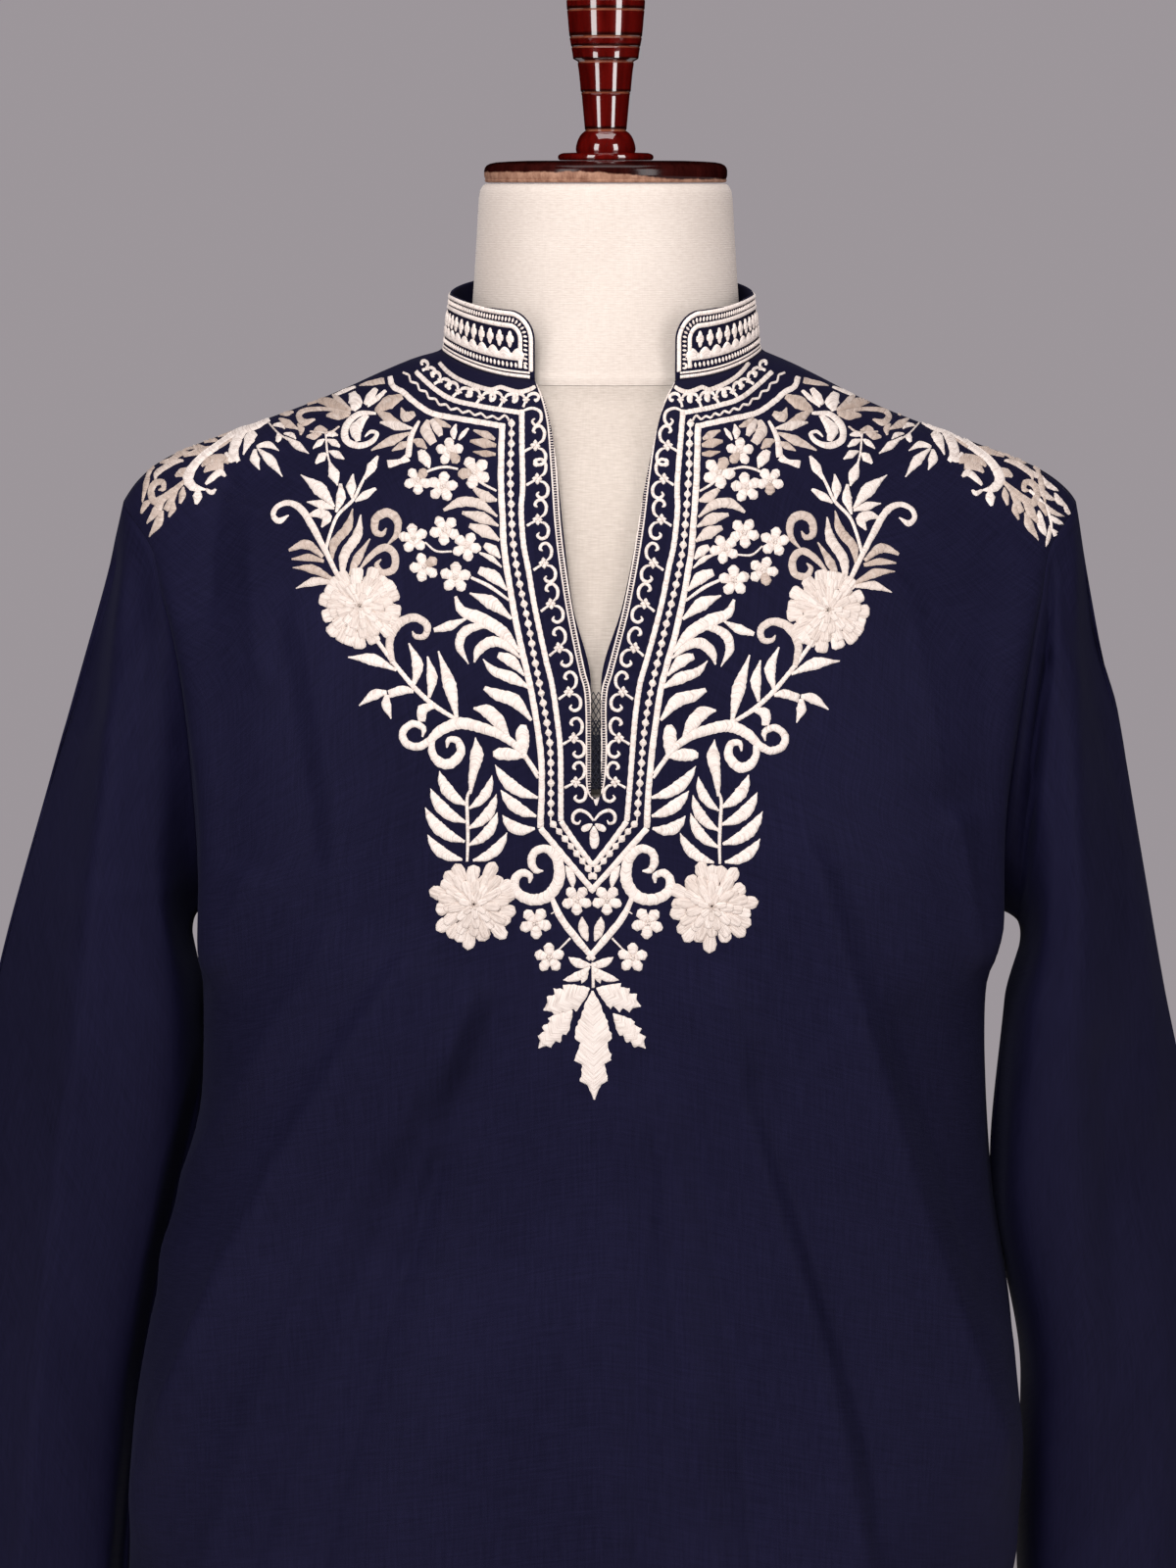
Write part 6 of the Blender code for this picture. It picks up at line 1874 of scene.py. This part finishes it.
base = lathe_object("base_turned", [(0.1850, 0.0000), (0.1880, 0.0008), (0.1896, 0.0030), (0.1899, 0.0070),
                                    (0.1899, 0.0165), (0.1890, 0.0198), (0.1868, 0.0222), (0.1840, 0.0236),
                                    (0.1800, 0.0243), (0.1775, 0.0252), (0.1300, 0.0272), (0.0620, 0.0300),
                                    (0.0450, 0.0311), (0.0380, 0.0325), (0.0340, 0.0345), (0.0305, 0.0385),
                                    (0.0286, 0.0430), (0.0278, 0.0500), (0.0272, 0.0555), (0.0258, 0.0585),
                                    (0.0238, 0.0599)], (0, 0), 128, STAND_WOOD, 40.0, 3)
for _ob, _node, _slot in ((torso, "form_torso", "form_linen"), (neck, "form_neck", "form_linen"),
                          (cap, "neck_cap", "turned_wood"), (finial, "finial", "turned_wood"),
                          (plate, "form_plate", "turned_wood"), (pole, "stand_pole", "turned_wood"),
                          (base, "stand_base", "turned_wood")):
    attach(_ob, "root")
    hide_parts(_node)


# -------------------------------------------------------------- net insert
def net_object():
    """Openwork net at the foot of the slit: fine crossed threads and two edges."""
    m = Nodes("black_net")
    pos = m.add("ShaderNodeTexCoord").outputs["Object"]
    m.put(m.shader.inputs["Base Color"],
          m.blend(m.noise(pos, 900.0, 2.0), (0.006, 0.006, 0.012, 1), (0.020, 0.020, 0.034, 1)))
    m.shader.inputs["Roughness"].default_value = 0.7
    m.put(m.shader.inputs["Normal"], m.bump(m.noise(pos, 2600.0, 2.0), 0.3, 0.0001))
    verts, faces = [], []

    def bar(a, b, r):
        a, b = Vector(a), Vector(b)
        d = (b - a).normalized()
        side = d.cross(Vector((0, 1, 0))).normalized()
        out = side.cross(d)
        n = len(verts)
        for p in (a, b):
            for k in range(6):
                t = math.pi * k / 3
                verts.append(p + side * r * math.cos(t) + out * r * math.sin(t))
        for k in range(6):
            faces.append((n + k, n + (k + 1) % 6, n + 6 + (k + 1) % 6, n + 6 + k))
        faces.append(tuple(n + k for k in reversed(range(6))))
        faces.append(tuple(n + 6 + k for k in range(6)))

    def at(x, z):
        y = -float(depth(FRONT, 1, np.array(abs(x)), np.array(z))) - 0.0001
        return (x + float(sway(np.array(0.0), np.array(z))), y, z)

    def back(x, z, deep):
        p = at(x, z)
        return (p[0], p[1] + deep, p[2])

    z0, z1, half = 1.3054, 1.3512, 0.0024
    for x in (-half, half):
        pts = [at(x, mix(z0, z1, k / 8)) for k in range(9)]
        for a, b in zip(pts, pts[1:]):
            bar(a, b, 0.00030)
    # three layers of six-sided mesh, the ones behind finer and closer toward the foot; the back layers are partly the
    # net seen doubled and partly painted shade, dense dark thread standing for the shade low in the slit
    for deep, cell, columns, top, r in ((0.0, 0.0042, 2, z1, 0.00022), (0.0009, 0.0030, 3, z1 - 0.014, 0.00022),
                                        (0.0016, 0.0017, 4, z1 - 0.021, 0.00028)):
        rows = int((top - z0) / (cell / 2))
        wide = 2 * half / columns
        for k in range(rows):
            za, zb = z0 + cell / 2 * k, z0 + cell / 2 * (k + 1)
            for c in range(columns):
                mid, lo, hi = -half + wide * (c + 0.5), -half + wide * c, -half + wide * (c + 1)
                if k % 2 == 0:
                    bar(back(lo, za, deep), back(mid, zb, deep), r)
                    bar(back(hi, za, deep), back(mid, zb, deep), r)
                else:
                    bar(back(mid, za, deep), back(lo, zb, deep), r)
                    bar(back(mid, za, deep), back(hi, zb, deep), r)
    ob = new_object("slit_net_threads", verts, faces, [m.mat])
    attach(ob, "root")
    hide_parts("slit_net")
    return ob


net = net_object()

# ------------------------------------------------------------------- stage
floor_mesh = bpy.data.meshes.new("floor")
floor_mesh.from_pydata([(-4, -3, 0), (4, -3, 0), (4, 4, 0), (-4, 4, 0)], [], [(0, 1, 2, 3)])
floor = bpy.data.objects.new("floor", floor_mesh)
bpy.context.scene.collection.objects.link(floor)
fm = Nodes("floor_pale")
fpos = fm.add("ShaderNodeTexCoord").outputs["Object"]
fm.put(fm.shader.inputs["Base Color"], fm.blend(fm.noise(fpos, 3.0, 3.0), (0.56, 0.55, 0.55, 1), (0.60, 0.59, 0.59, 1)))
fm.shader.inputs["Roughness"].default_value = 0.8
floor_mesh.materials.append(fm.mat)

world = bpy.data.worlds.new("studio")
bpy.context.scene.world = world
world.use_nodes = True
world.node_tree.nodes["Background"].inputs["Color"].default_value = (0.335, 0.305, 0.325, 1)
world.node_tree.nodes["Background"].inputs["Strength"].default_value = 1.0
world.cycles_visibility.glossy = False


def area_light(name, place, aim, size, power, colour=(1, 1, 1)):
    data = bpy.data.lights.new(name, "AREA")
    data.shape = "RECTANGLE"
    data.size, data.size_y = size
    data.energy = power
    data.color = colour
    ob = bpy.data.objects.new(name, data)
    ob.location = place
    ob.rotation_euler = (Vector(aim) - Vector(place)).to_track_quat("-Z", "Y").to_euler()
    bpy.context.scene.collection.objects.link(ob)
    return ob


area_light("strip_left", (-1.85, -2.45, 1.95), (0, 0, 1.4), (0.95, 2.4), 22)
area_light("strip_right", (2.00, -2.40, 1.92), (0, 0, 1.4), (0.95, 2.4), 25)
key = area_light("key", (-0.35, -2.9, 2.75), (0, 0, 1.3), (1.2, 1.0), 78)
key.visible_glossy = False
area_light("top", (0.0, -0.5, 3.1), (0, 0, 1.4), (1.6, 1.2), 9)
back = area_light("back", (0.2, 2.4, 2.4), (0, 0, 1.2), (1.6, 1.2), 14)
back.visible_glossy = False

view = bpy.data.cameras.new("camera")
view.sensor_fit = "VERTICAL"
view.sensor_height = 36.0
view.sensor_width = 27.0
view.lens = 125.0
view.clip_start = 0.05
camera = bpy.data.objects.new("camera", view)
camera.location = CAM
camera.rotation_euler = (math.pi / 2 - PITCH, 0.0, 0.0)
bpy.context.scene.collection.objects.link(camera)
bpy.context.scene.camera = camera
bpy.context.scene.view_settings.view_transform = "Standard"
